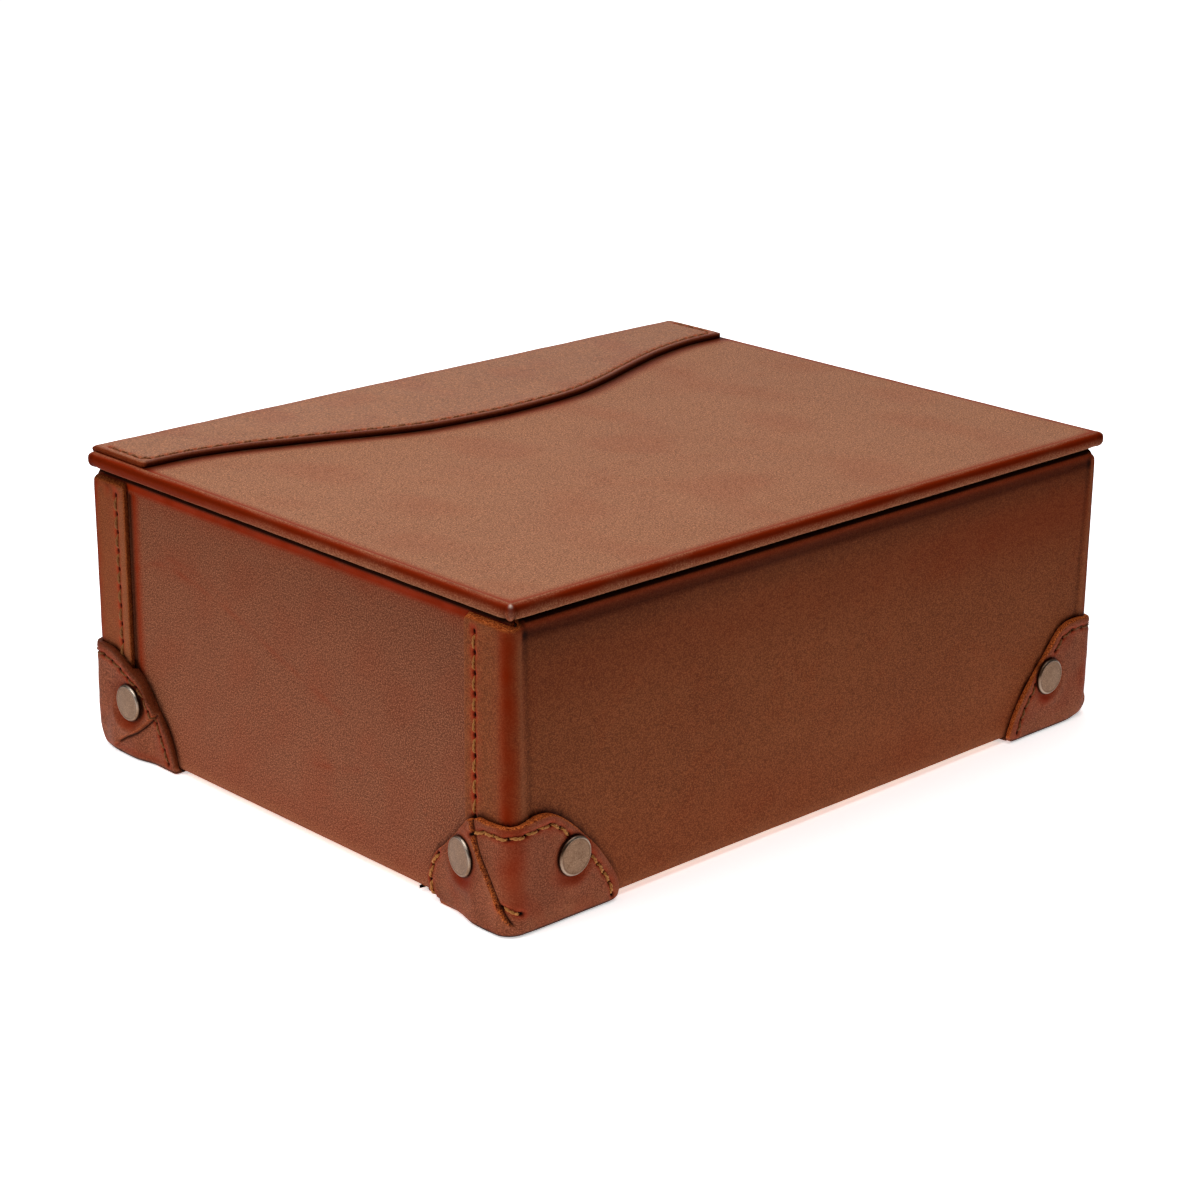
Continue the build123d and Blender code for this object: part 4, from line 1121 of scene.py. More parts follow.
    # the top face: a free triangulation inside the first ring
    ring = lid_ring(LE)[0]
    hx, hy = LX - LE, LHY - LE
    g, h = [], 2.1
    for j, y in enumerate(np.arange(-hy + 1.0, hy - 0.9, h * 0.866)):
        x = np.arange(-hx + 1.0 + (h / 2 if j % 2 else 0), hx - 0.9, h)
        g.append(np.stack([x, np.full_like(x, y + LCY)], 1))
    for b in (0.8, 1.7, 2.8):
        g.append(lid_ring(LE + b)[0])
    g = np.vstack(g)
    g = g[(np.abs(g[:, 0]) < hx - 0.5) & (np.abs(g[:, 1] - LCY) < hy - 0.5)]
    pts = np.vstack([ring, g])
    tri = triangulate(pts, N)
    x, y = pts[:, 0], pts[:, 1]
    e = np.minimum(hx - np.abs(x), hy - np.abs(y - LCY)) + 0.0
    ext = sstep(e, 0, 6)
    z = LZ1 + ext * (0.07 * waves(x, y, 62, 41) + 0.035 * waves(x, y, 23, 42) + 0.02 * waves(x * 0.35, y, 9, 43)) - 0.05 * bell(e, 0, 1.5)
    z += 0.06 * bell(e, 2.6, 1.8)
    # faint creases across the top
    for (x0, y0), (x1, y1), am, w in (((40, -60), (112, -22), 0.05, 1.6), ((20, -35), (70, -70), 0.035, 1.4), ((70, -5), (118, 18), 0.04, 1.8)):
        L = math.hypot(x1 - x0, y1 - y0)
        tx, ty = (x1 - x0) / L, (y1 - y0) / L
        tt = (x - x0) * tx + (y - y0) * ty
        dd = np.abs((x - x0) * -ty + (y - y0) * tx + 1.5 * np.sin(tt / 9))
        z -= am * bell(dd, 0, w) * sstep(tt, 0, 14) * sstep(tt, L, L - 14)
    corner_d = near(pts, cor)[0]
    # painted shade and highlight on the top: redder at the edges and corners, a light line inside the edge, lighter
    # towards the front
    red = np.clip(1.05 * bell(e, -0.5, 1.7), 0, 1) + 0.13 * np.clip(waves(x, y, 34, 44), 0, 1) * ext
    red += 0.3 * bell(corner_d, 0, 3.5)
    pale = 0.22 * bell(e, 3.4, 2.2) * (0.7 + 0.3 * waves(x, y, 15, 45)) + 0.10 * sstep(y, -10, -90)
    # painted shadow of the strap along its wavy edge, and dark under the strap
    wd = near(pts, FLAP_WAVE)[0]
    out = (y < np.interp(x, FLAP_WAVE[:, 0], FLAP_WAVE[:, 1])) & (np.abs(x) < 124.5)
    dk = 0.80 * sstep(wd, 6.2, 0.0) ** 1.35 * out + 0.9 * (~out) * (np.abs(x) < 124)
    red += 0.75 * sstep(wd, 7.0, 1.0) * out
    top_att = {"red": np.clip(red, 0, 1), "pale": np.clip(pale, 0, 1), "dark": np.clip(dk, 0, 0.9), "raw": np.zeros(len(x)), "worn": np.zeros(len(x)), "shine": np.zeros(len(x)),
               "pat": np.column_stack([x, y, np.zeros(len(x))])}
    bag = Bag()
    n_r = len(rings)
    co = np.vstack([np.column_stack([pts, z])] + rings)
    allatt = {k: np.concatenate([top_att[k]] + [np.asarray(a) for a in att[k]]) if k != "pat" else np.vstack([top_att[k]] + att[k]) for k in att}
    i = np.arange(N)
    j = (i + 1) % N
    faces = [tri]
    st = [0] + [len(pts) + N * r for r in range(n_r)]
    for a0, a1 in zip(st[:-1], st[1:]):
        faces.append(np.stack([a0 + i, a1 + i, a1 + j, a0 + j], 1))
    # inner skin: the last ring closed by the same triangles, a little lower
    last = st[-1]
    inner_pts = np.column_stack([pts[N:], np.full(len(pts) - N, LZ1 - 1.2)])
    base = len(co)
    remap = np.concatenate([last + np.arange(N), base + np.arange(len(pts) - N)])
    co = np.vstack([co, inner_pts])
    for k in allatt:
        allatt[k] = (np.vstack([allatt[k], np.column_stack([pts[N:], np.full(len(pts) - N, 9.0)])]) if k == "pat"
                     else np.concatenate([allatt[k], np.zeros(len(pts) - N)]))
    faces.append(remap[tri][:, ::-1])
    bag.add(co, faces, allatt)
    ob = bag.obj("lid_cover", mat_lid_lit)
    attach(ob, "lid")
    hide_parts("lid_leather")


build_lid()

# ---------------------------------------------------------------- hinge leather
ST = 1.9
FLAT_Y = 94.2
R_OUT = LE + ST
Q1 = FLAT_Y
Q2 = Q1 + R_OUT * math.pi / 2
Q_END = Q2 + (93.0 - 62.2)


def strap_map(u, q):
    O = np.stack([u, np.minimum(q, FLAT_Y), np.full(len(u), LZ1 + ST)], 1)
    n = np.tile((0.0, 0.0, 1.0), (len(u), 1))
    th = np.full(len(u), ST)
    m = q > Q1
    a = np.clip((q - Q1) / R_OUT, 0, math.pi / 2)
    O[m, 1] = FLAT_Y + R_OUT * np.sin(a[m])
    O[m, 2] = LZ1 - LE + R_OUT * np.cos(a[m])
    n[m] = np.stack([np.zeros(m.sum()), np.sin(a[m]), np.cos(a[m])], 1)
    m = q > Q2
    O[m, 1] = FLAT_Y + R_OUT
    O[m, 2] = 93.0 - (q[m] - Q2)
    n[m] = (0, 1, 0)
    return O, n, th


flap_row_line = [(-SW + 2.6, 90.0), (-SW + 2.6, 73.0)] + [(x, y + 2.7) for x, y in wave[(wave[:, 0] > -SW + 4) & (wave[:, 0] < SW - 4)]] + [(SW - 2.6, 73.0), (SW - 2.6, 90.0)]
flap_row = Row(resample(flap_row_line, 0.8, closed=False), pitch=5.0, seed=31, gap=1.2, slant=0.10)
SB = 120.5                        # half its width below the roll
back_line = [(-SB + 2.6, Q2 + 7.0), (-SB + 2.6, Q_END - 2.7), (SB - 2.6, Q_END - 2.7), (SB - 2.6, Q2 + 7.0)]
back_row = Row(resample(back_line, 0.8, closed=False), pitch=5.0, seed=32, gap=1.2, slant=0.10)


def strap_disp(u, q, e):
    d = 0.05 * waves(u, q, 48, 61) + 0.03 * waves(u, q, 17, 62)
    d = d * sstep(e, 0, 4)
    d += channel([flap_row, back_row], u, q, 0.20, 0.08)
    d += -0.22 * bell(e, 0, 0.9)
    # soft cross wrinkles where the strap rolls over the hinge
    d += (0.05 * waves(u, q * 0.2, 11, 63) - 0.05 * np.sin(u * 0.9 + 2 * waves(u, q, 20, 64)) * 0.4) * bell(q, (Q1 + Q2) / 2 + 2, 4.0)
    d += -0.12 * bell(q, Q2 + 3.2, 1.6) + 0.03 * bell(q, Q2 + 6.0, 1.6)
    return d


def strap_paint(u, q, e):
    halo, hole = stitch_paint([flap_row, back_row], u, q)
    hole = hole * np.where(q < Q1, 0.38, 1.0)
    on_wave = (q < 72) & (np.abs(u) < SW - 1.2)
    # painted shade: red over the roll, red and dark along the wavy edge with the edge's dye, and a dark line in the
    # crease below the roll
    red = 0.55 * bell(q, (Q1 + Q2) / 2, 3.4) + 0.15 * np.clip(waves(u, q, 28, 65), 0, 1)
    red += np.where(on_wave, 0.55, 0.22) * bell(e, 0.4, 1.1)
    dark = np.where(on_wave, 0.66, 0.12) * bell(e, 0, 1.35) + 0.22 * bell(q, Q2 + 3.2, 1.6)
    pale = 0.0 * e
    return {"red": np.clip(red, 0, 1), "halo": halo * 0.45, "hole": hole, "dark": dark, "pale": pale}


outline = rounded([(-SW, wave[0][1]), (-SW, Q1 + 3.0), (-SB, Q1 + 5.8), (-SB, Q_END), (SB, Q_END), (SB, Q1 + 5.8), (SW, Q1 + 3.0),
                   (SW, wave[-1][1]), (SW - 4, wave[-1][1] - 0.25)], [0, 2.0, 1.5, 5.0, 5.0, 1.5, 2.0, 1.2, 0])
inner_wave = wave[::-1]
inner_wave = inner_wave[(inner_wave[:, 0] < SW - 4.5) & (inner_wave[:, 0] > -SW + 4.5)]
outline = np.vstack([outline, inner_wave, [(-SW + 4, wave[0][1] - 0.25), (-SW + 0.9, wave[0][1] - 0.1), (-SW + 0.2, wave[0][1] + 0.4), (-SW, wave[0][1] + 1.2)]])
outline = outline[1:]
ex = [flap_row.points(), back_row.points()]
uu = np.arange(-SW + 1.4, SW - 1.3, 1.6)
for q in np.arange(Q1 - 1.2, Q2 + 8.0, 0.62):
    ex.append(np.stack([uu + 0.8 * (int(q * 10) % 2), np.full_like(uu, q)], 1))
bag = Bag()
leather_sheet(bag, outline, 1.2, strap_map, strap_disp, strap_paint, rt=0.5, bands=(0.5, 1.1), extra=np.vstack(ex), grid=2.0, seed=77.0)
# the strap's cut edge is dyed dark, and the same dark paints the shade on that edge
for a in bag.att:
    end = np.abs(a["pat"][:, 0]) > SW - 1.0
    cut = sstep(a["raw"], 0.1, 0.6)
    a["dark"] = np.maximum(a["dark"], np.where(end, 0.5, 0.82) * cut)
    a["red"] = np.maximum(a["red"], cut)
    a["raw"] = a["raw"] * 0.35
strap = bag.obj("hinge_strap", mat_strap_lit)
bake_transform(strap)
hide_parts("hinge_leather")

bag = Bag()
threads(bag, flap_row, strap_map, strap_disp, seed=131, radius=0.22, rise=0.12)
ob = bag.obj("flap_stitches", mat_flap_thread)
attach(ob, "lid")
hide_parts("flap_threads")
bag = Bag()
threads(bag, back_row, strap_map, strap_disp, seed=132, radius=0.24, rise=0.16)
ob = bag.obj("hinge_back_stitches", mat_flap_thread)
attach(ob, "box")
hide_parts("hinge_back_threads")

# ---------------------------------------------------------------- corner guards
GUA = 4.6 * math.pi / 4


def guard_plan(u):
    """A point of the box's face at path distance u from the corner's middle, and the normal there; + is the front."""
    cx, cy = -HX + RC, -HY + RC
    ang = np.clip((u / GUA + 1) * math.pi / 4, 0, math.pi / 2)
    n = np.stack([-np.cos(ang), -np.sin(ang)], 1)
    P = np.array([cx, cy]) + RC * n
    P[:, 0] += np.maximum(u - GUA, 0)
    P[:, 1] += np.maximum(-u - GUA, 0)
    return P, n


def seg_side(P, a, b):
    """Signed distance to the line a-b (+ on its left), and the share along it."""
    a, b = np.array(a, float), np.array(b, float)
    t = b - a
    L = np.linalg.norm(t)
    t /= L
    r = P - a
    return t[0] * r[:, 1] - t[1] * r[:, 0], (r @ t) / L


def line_dist(P, line):
    """Signed distance to an open polyline (+ on its left)."""
    best = np.full(len(P), 1e9)
    sign = np.ones(len(P))
    for a, b in zip(line[:-1], line[1:]):
        d, t = seg_side(P, a, b)
        a_, b_ = np.array(a), np.array(b)
        tt = np.clip(t, 0, 1)[:, None]
        q = a_ + (b_ - a_) * tt
        dd = np.linalg.norm(P - q, axis=1)
        m = dd < best
        best[m] = dd[m]
        sign[m] = np.sign(d[m])
    return best * sign


RIV_F, RIV_S, RIV_Z = 21.4, 18.4, 18.7
TILT = 0.18                       # slope of a lapped side flap, which its rivet follows


def build_guard(name, node, matrix, spec):
    outline = np.array(spec["outline"], float)
    seam = resample(spline(spec["seam"], 0.6), 0.9, closed=False)
    step_h = spec["step"]
    over_left = spec.get("over", 1.0)
    rows = [Row(resample(spline(l, 0.6), 0.6, closed=False), pitch=4.5, seed=spec["seed"] + 7 * i, gap=0.9, slant=0.22) for i, l in enumerate(spec["rows"])]
    ridge_rows = [resample(spline(l, 0.6), 0.6, closed=False) for l in spec.get("ridges", [])]
    seed = spec["seed"]
    lift_fn = spec["lift"]

    def level(u, v):
        """Height of the guard's outer face above the box's outer face."""
        s = -u                                     # along the side
        # on the side: over the strip, then down to the side leather
        d = np.full(len(u), 1.9)
        if spec["over"] < 0:
            d = np.where(s > 0, 1.9 - 1.75 * sstep(s, 19.0, 29.5), d)
        else:
            # the flap slopes down from the corner, and its rivet lies on the slope
            d = np.where(s > RIV_S, np.maximum(1.9 - TILT * (s - RIV_S), 0.15 + 0.35 * sstep(s, 31, 26)), d)
        P = np.stack([u, v], 1)
        ds = line_dist(P, seam) * over_left
        # the lap is a full thickness at the seam and fades away from it, and the
        # rivet presses it down; low down it runs round the corner without a step
        low = sstep(v, 6.0, 2.6)
        cut = np.where(ds > 0, sstep(ds, 0.0, 0.26), 0.0)
        if spec["over"] < 0:
            d = d + cut * step_h(u, v) * sstep(ds, spec["fade"][1], spec["fade"][0]) * sstep(np.hypot(u + RIV_S, v - RIV_Z), 5.6, 9.4)
        else:
            lap = np.clip(TILT * (RIV_S - s), 0, 0.95)
            d = d + lap * (cut * (1 - low) + sstep(u, 4.5, -3.0) * low)
        # the under layer is pressed in beside the lap
        d = d - 0.40 * bell(ds, -0.15, 0.5) * (ds <= 0.15) * np.clip(step_h(u, v) / 1.2, 0, 1) * (1 - low)
        return d, ds

    def inner(u):
        return np.where(-u > 0, -1.78 * sstep(-u, 18.6, 19.2), 0.0)

    def gmap(u, v):
        P, n = guard_plan(u)
        d, _ = level(u, v)
        low = np.clip(1.5 - v, 0, 1.5)
        d = d - (1.5 - np.sqrt(np.maximum(1.5**2 - low**2, 0))) * 0.85
        pull = spec["pull"] * bell(u, 0, 6.0) * (1 - np.sqrt(1 - (np.clip(7.5 - v, 0, 7.5) / 7.5) ** 2))
        th = np.maximum(d - inner(u) - 0.02 - pull, 0.3)
        O = np.column_stack([P + n * d[:, None] + pull[:, None] * 0.70710678, np.clip(v, 0, None)])
        return O, np.column_stack([n, np.zeros(len(u))]), th

    def disp(u, v, e):
        d = 0.09 * waves(u, v, 17, seed) + 0.05 * waves(u, v, 7, seed + 1)
        for c, sgn in ((RIV_F, 1), (RIV_S, -1)):
            r = np.hypot(u - sgn * (c - 0.0), v - RIV_Z)
            d -= 0.36 * sstep(r, 8.6, 5.0) - 0.10 * bell(r, 9.0, 1.3)
            ang = np.arctan2(RIV_Z - v, (u - sgn * c))
            d += 0.34 * bell(r, 8.6, 1.3) * bell(ang, 1.35, 0.75)
        d += lift_fn(u, v)
        d += channel(rows, u, v, 0.20, 0.10)
        for l in ridge_rows:
            dl = near(np.stack([u, v], 1), l)[0]
            d += -0.26 * bell(dl, 0, 0.8) + 0.16 * bell(dl, 1.8, 0.9)
        d -= 0.15 * bell(e, 0, 0.8)
        return d * sstep(v, 0.0, 1.2) if True else d

    def paint(u, v, e):
        halo, hole = stitch_paint(rows, u, v)
        _, ds = level(u, v)
        # painted shade: the corner's red band, and red on the bulges round and below the rivets
        red = (0.62 if spec is near_spec else 0.28) * bell(u, 1.2, 3.2) * (0.9 + 0.1 * waves(u, v, 8, seed + 3)) * sstep(v, 4, 10)
        red += 0.22 * np.clip(waves(u, v, 12, seed + 4), 0, 1)
        for c, sgn in ((RIV_F, 1), (RIV_S, -1)):
            r = np.hypot(u - sgn * c, v - RIV_Z)
            ang = np.arctan2(RIV_Z - v, (u - sgn * c))
            red += 0.75 * bell(r, 7.6, 1.5) * bell(ang, 1.5, 0.9) + 0.35 * bell(r, 6.4, 0.8)
        red += 0.12 * bell(e, 1.0, 1.0) * (v > 2)
        lap = np.clip(step_h(u, v) / 1.4, 0, 1)
        fray = 0.5 + 0.5 * waves(u, v, 1.3, seed + 12)
        lap = lap * sstep(v, 3.0, 5.0)
        rawline = np.clip(bell(ds, 0.22, 0.34) * (0.55 + 0.8 * fray), 0, 1) * lap
        # painted shadow beside the lap's edge, and painted shade along the bottom where it meets the floor and round
        # the rivet caps
        dark = np.clip(1.2 * bell(ds, -0.28, 0.36), 0, 1) * np.clip(lap * 1.4, 0, 1)
        dark = np.maximum(dark, 0.92 * (1 - sstep(v, 0.75, 1.5)))
        crown = sstep(v, 22, 27) * np.where(u < -14, 0.3, 1.0) * (spec["over"] > 0)
        rawline = np.maximum(rawline, np.clip(0.55 + 0.8 * fray, 0, 1) * sstep(e, 0.50, 0.15) * crown)
        for c, sgn in ((RIV_F, 1), (RIV_S, -1)):
            r = np.hypot(u - sgn * c, v - RIV_Z)
            dark = np.maximum(dark, 0.8 * sstep(r, 6.35, 5.75))
        if spec["over"] < 0:
            dark = np.maximum(dark, 0.16 + 0.40 * bell(e, 0.2, 0.8) * (u < 3) * (v > 2))
            red += 0.35 * bell(e, 2.4, 1.0) * (u < 3)
        dark = np.maximum(dark, (0.15 + 0.10 * np.clip(waves(u, v, 14, seed + 17), -1, 1)) * (0.35 + 0.65 * sstep(u, -4, -10)))
        # painted highlight along the lap's edge and the bottom edge, and light random patches
        pale = 0.22 * bell(ds, 1.2, 0.9) * lap * sstep(v, 4, 12) + 0.12 * np.clip(waves(u, v, 15, seed + 6), 0, 1)
        pale += 0.25 * bell(v, 3.2, 2.0) * (u > 4)
        return {"red": np.clip(red, 0, 1), "halo": np.clip(halo, 0, 1) * 0.6, "frayed": rawline * (1.0 if spec["over"] > 0 else 0.3), "hole": hole, "dark": np.clip(dark, 0, 1), "pale": np.clip(pale, 0, 1)}

    extra = [r.points() for r in rows]
    for l in [seam]:
        c, t = along(l, np.arange(0, np.linalg.norm(np.diff(l, axis=0), axis=1).sum(), 0.42))
        s = np.stack([-t[:, 1], t[:, 0]], 1) * over_left
        n0 = sum(len(x) for x in extra)
        for k in (-1.0, -0.6, -0.3, -0.02, 0.13, 0.28, 0.55, 1.0):
            extra.append(c + s * k)
        n_seam = (n0, sum(len(x) for x in extra))
    for c, sgn in ((RIV_F, 1), (RIV_S, -1)):
        for rr in (5.4, 5.9, 6.5, 7.3, 8.2, 9.2):
            a = np.linspace(0, 2 * np.pi, int(rr * 7), endpoint=False)
            extra.append(np.stack([sgn * c + rr * np.cos(a), RIV_Z + rr * np.sin(a)], 1))
    vv = np.arange(1.2, 34, 0.8)
    for x in np.arange(-6, 6.1, 0.6):
        extra.append(np.stack([np.full_like(vv, x), vv + 0.4 * (int(round(x * 10 / 6)) % 2)], 1))
    uu = np.arange(-38, 38.5, 0.9)
    for v in (0.55, 0.95, 1.45):
        extra.append(np.stack([uu, np.full_like(uu, v)], 1))
    extra = np.vstack(extra)
    keep = np.ones(len(extra), bool)
    sd = near(extra, seam)[0]
    keep[(sd < 1.05)] = False
    keep[n_seam[0]:n_seam[1]] = True
    extra = extra[keep]
    bag = Bag()
    raw = lambda u, v: sstep(v, 1.4, 2.6) * (np.where(u < 4, 0.25, 1.0) if spec["over"] < 0 else 1.0)
    leather_sheet(bag, outline, 0.7, gmap, disp, paint, rt=0.34, bands=(0.4, 0.9), extra=extra, grid=1.05, raw=raw, seed=seed * 1.7)
    if spec["over"] < 0:
        # this guard's cut edge is dyed dark along the side
        cut = sstep(bag.att[0]["raw"], 0.05, 0.22) * (bag.att[0]["pat"][:, 0] < 4)
        bag.att[0]["dark"] = np.maximum(bag.att[0]["dark"], 0.58 * cut)
        bag.att[0]["red"] = np.maximum(bag.att[0]["red"], 0.35 * cut)

    # the part turned under the box
    a = np.linspace(math.radians(90), 0, 40)
    arcp = np.stack([-HX + 38.9 * np.cos(a), -(-HY + 38.9 * np.sin(a))], 1)
    c0 = (-HX + 0.12, HY - 0.12)
    side_tip = [(-HX + 0.12, HY - 38.6)] if spec["over"] < 0 else [(-HX + 0.12, HY - 29.5), (-HX + 3.0, HY - 33.6), (-HX + 3.0, HY - 38.4)]
    arcq = arcp[arcp[:, 0] > side_tip[-1][0] + 0.8][:-2]
    wing = rounded(np.vstack([[c0], side_tip, arcq, [(-HX + 38.6, HY - 0.12)]]),
                   [max(3.4, 2.6 * spec["pull"])] + ([1.0] if len(side_tip) == 1 else [1.0, 1.2, 1.0]) + [0] * len(arcq) + [1.0])

    def wmap(u, v):
        return (np.stack([u, -v, np.zeros(len(u))], 1), np.tile((0.0, 0.0, -1.0), (len(u), 1)), np.full(len(u), 1.9))

    def wpaint(u, v, e):
        r = np.hypot(u + HX, v - HY)
        return {"dark": 0.35 * bell(e, 0, 1.0) * (r > 30) + 0.25 * np.clip(waves(u, v, 11, seed + 8), 0, 1), "pale": 0.35 * bell(np.minimum(u + HX, HY - v), 2.5, 2.5) * (r < 37),
                "red": 0.25 * np.clip(waves(u, v, 13, seed + 9), 0, 1)}

    def wdisp(u, v, e):
        return -0.12 * bell(e, 0, 1.2) - 0.06 * np.clip(waves(u, v, 16, seed + 10) + 0.6, 0, 2)

    leather_sheet(bag, wing, 0.9, wmap, wdisp, wpaint, rt=0.5, bands=(0.6,), grid=1.8, raw=lambda u, v: np.full(len(u), 0.12), seed=seed * 1.7 + 20)
    # painted shade: the turned-under part's edges are near-black away from the corner
    bag.att[-1]["dark"] = np.maximum(bag.att[-1]["dark"], 0.75 * sstep(bag.att[-1]["raw"], 0.02, 0.1) * (np.hypot(bag.att[-1]["pat"][:, 0] + HX, bag.att[-1]["pat"][:, 1] - HY) > 30))
    ob = bag.obj(name, mat_guard, matrix=matrix)
    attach(ob, "box")
    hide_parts(node)
    bag = []
    return rows, gmap, disp


def near_lift(u, v):
    """The crown of the front leg stands off the face a little."""
    return 0.95 * bell(u, 9.5, 5.0) * sstep(v, 28.5, 33.5) + 0.45 * bell(u, -8.0, 4.0) * sstep(v, 28.5, 32)


def quiet_lift(u, v):
    return 0.35 * bell(u, 11.0, 7.0) * sstep(v, 29, 34)


near_spec = dict(
    outline=outline_near, seed=203,
    seam=[(2.6, 2.2), (0.3, 3.9), (-1.6, 7.0), (-4.1, 11.9), (-8.2, 17.9), (-11.4, 24.0), (-13.3, 29.0), (-13.9, 32.5)],
    over=1.0, step=lambda u, v: 1.25 * sstep(v, 1.6, 5.0), pull=0.9,
    rows=[[(-13.2, 27.0), (-8.7, 28.8), (-3.4, 28.9), (0.3, 29.2), (3.1, 29.5), (6.6, 29.9), (9.6, 30.2), (13.0, 30.2), (16.2, 28.4), (19.6, 25.2)],
          [(28.0, 16.6), (29.7, 14.4), (32.6, 10.4), (34.8, 6.7), (36.0, 2.6)],
          [(-30.0, 15.2), (-31.8, 12.1), (-33.0, 8.6), (-32.9, 5.2), (-31.9, 2.0)],
          [(-2.0, 9.0), (2.4, 7.1)]],
    lift=near_lift)

far_spec = dict(
    outline=outline_far, seed=307,
    seam=[(2.4, 2.4), (0.0, 4.2), (-2.0, 7.4), (-4.6, 12.4), (-8.6, 18.3), (-11.6, 24.6), (-13.4, 29.6), (-14.0, 33.0)],
    over=1.0, step=lambda u, v: 1.25 * sstep(v, 1.6, 5.0), pull=3.4,
    rows=[[(-13.0, 28.0), (-8.7, 30.2), (-3.4, 30.6), (1.0, 31.0), (6.0, 31.6), (11.0, 31.6), (15.0, 29.9), (18.2, 26.6)],
          [(27.6, 17.0), (30.4, 13.2), (33.2, 8.8), (35.6, 3.2)],
          [(-30.6, 14.0), (-32.4, 10.6), (-33.6, 6.8), (-33.4, 2.6)]],
    lift=quiet_lift)

# the back left guard laps the other way: its back layer comes round the corner
# and over the side, and its lower edge lies on the part that comes up from below
bl_spec = dict(
    outline=outline_bl, seed=411,
    seam=[(-8.6, 0.9), (-12.0, 4.2), (-16.6, 7.1), (-22.1, 10.1), (-26.9, 14.2), (-30.6, 18.0)],
    over=-1.0, step=lambda u, v: 1.35 * sstep(v, 0.8, 3.2) * sstep(-u, 3.0, 12.0), fade=(4.0, 14.0), pull=3.4,
    rows=[[(36.0, 2.6), (34.4, 6.9), (31.6, 11.6), (28.2, 16.4)], [(19.4, 25.6), (15.4, 29.0), (10.8, 30.8), (5.0, 31.0), (0.0, 30.9), (-5.4, 31.0)],
          [(-5.6, 31.0), (-10.5, 29.9), (-15.6, 27.8), (-21.6, 24.4), (-26.2, 19.6), (-29.9, 14.6), (-32.6, 8.8), (-35.0, 2.8)]],
    lift=lambda u, v: 0.25 * bell(u, -14.0, 8.0) * sstep(v, 27, 33))

guard_threads_bag = Bag()
for nm, node, mat, spec in (("guard_front_left", "corner_guard_front_left", None, near_spec),
                            ("guard_front_right", "corner_guard_front_right", MIRX, far_spec),
                            ("guard_back_left", "corner_guard_back_left", MIRY, bl_spec),
                            ("guard_back_right", "corner_guard_back_right", ROT, dict(far_spec, seed=509))):
    rows, gm, gd = build_guard(nm, node, mat, spec)
    tmp = Bag()
    for i, r in enumerate(rows):
        # threads don't run under the rivet caps
        mid = (r.A + r.B) / 2
        clear = np.ones(len(mid), bool)
        for c, sgn in ((RIV_F, 1), (RIV_S, -1)):
            clear &= np.hypot(mid[:, 0] - sgn * c, mid[:, 1] - RIV_Z) > 6.3
        threads(tmp, r, gm, gd, seed=spec["seed"] + 60 + i, radius=0.31 if spec is near_spec else 0.25, rise=0.26 if spec is near_spec else 0.14, only=clear)
    mtx = np.eye(3) if mat is None else mat
    base = guard_threads_bag.n
    for c, a in zip(tmp.co, tmp.att):
        a["stain"] = np.full(len(c), 0.0 if spec is near_spec else 0.72)
        guard_threads_bag.co.append(c @ mtx.T)
        guard_threads_bag.att.append(a)
    fl = np.linalg.det(mtx) < 0
    guard_threads_bag.faces += [(f[:, ::-1] if fl else f) + base for f in tmp.faces]
    guard_threads_bag.n += tmp.n
ob = guard_threads_bag.obj("guard_stitches", mat_thread)
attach(ob, "box")
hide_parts("guard_threads")

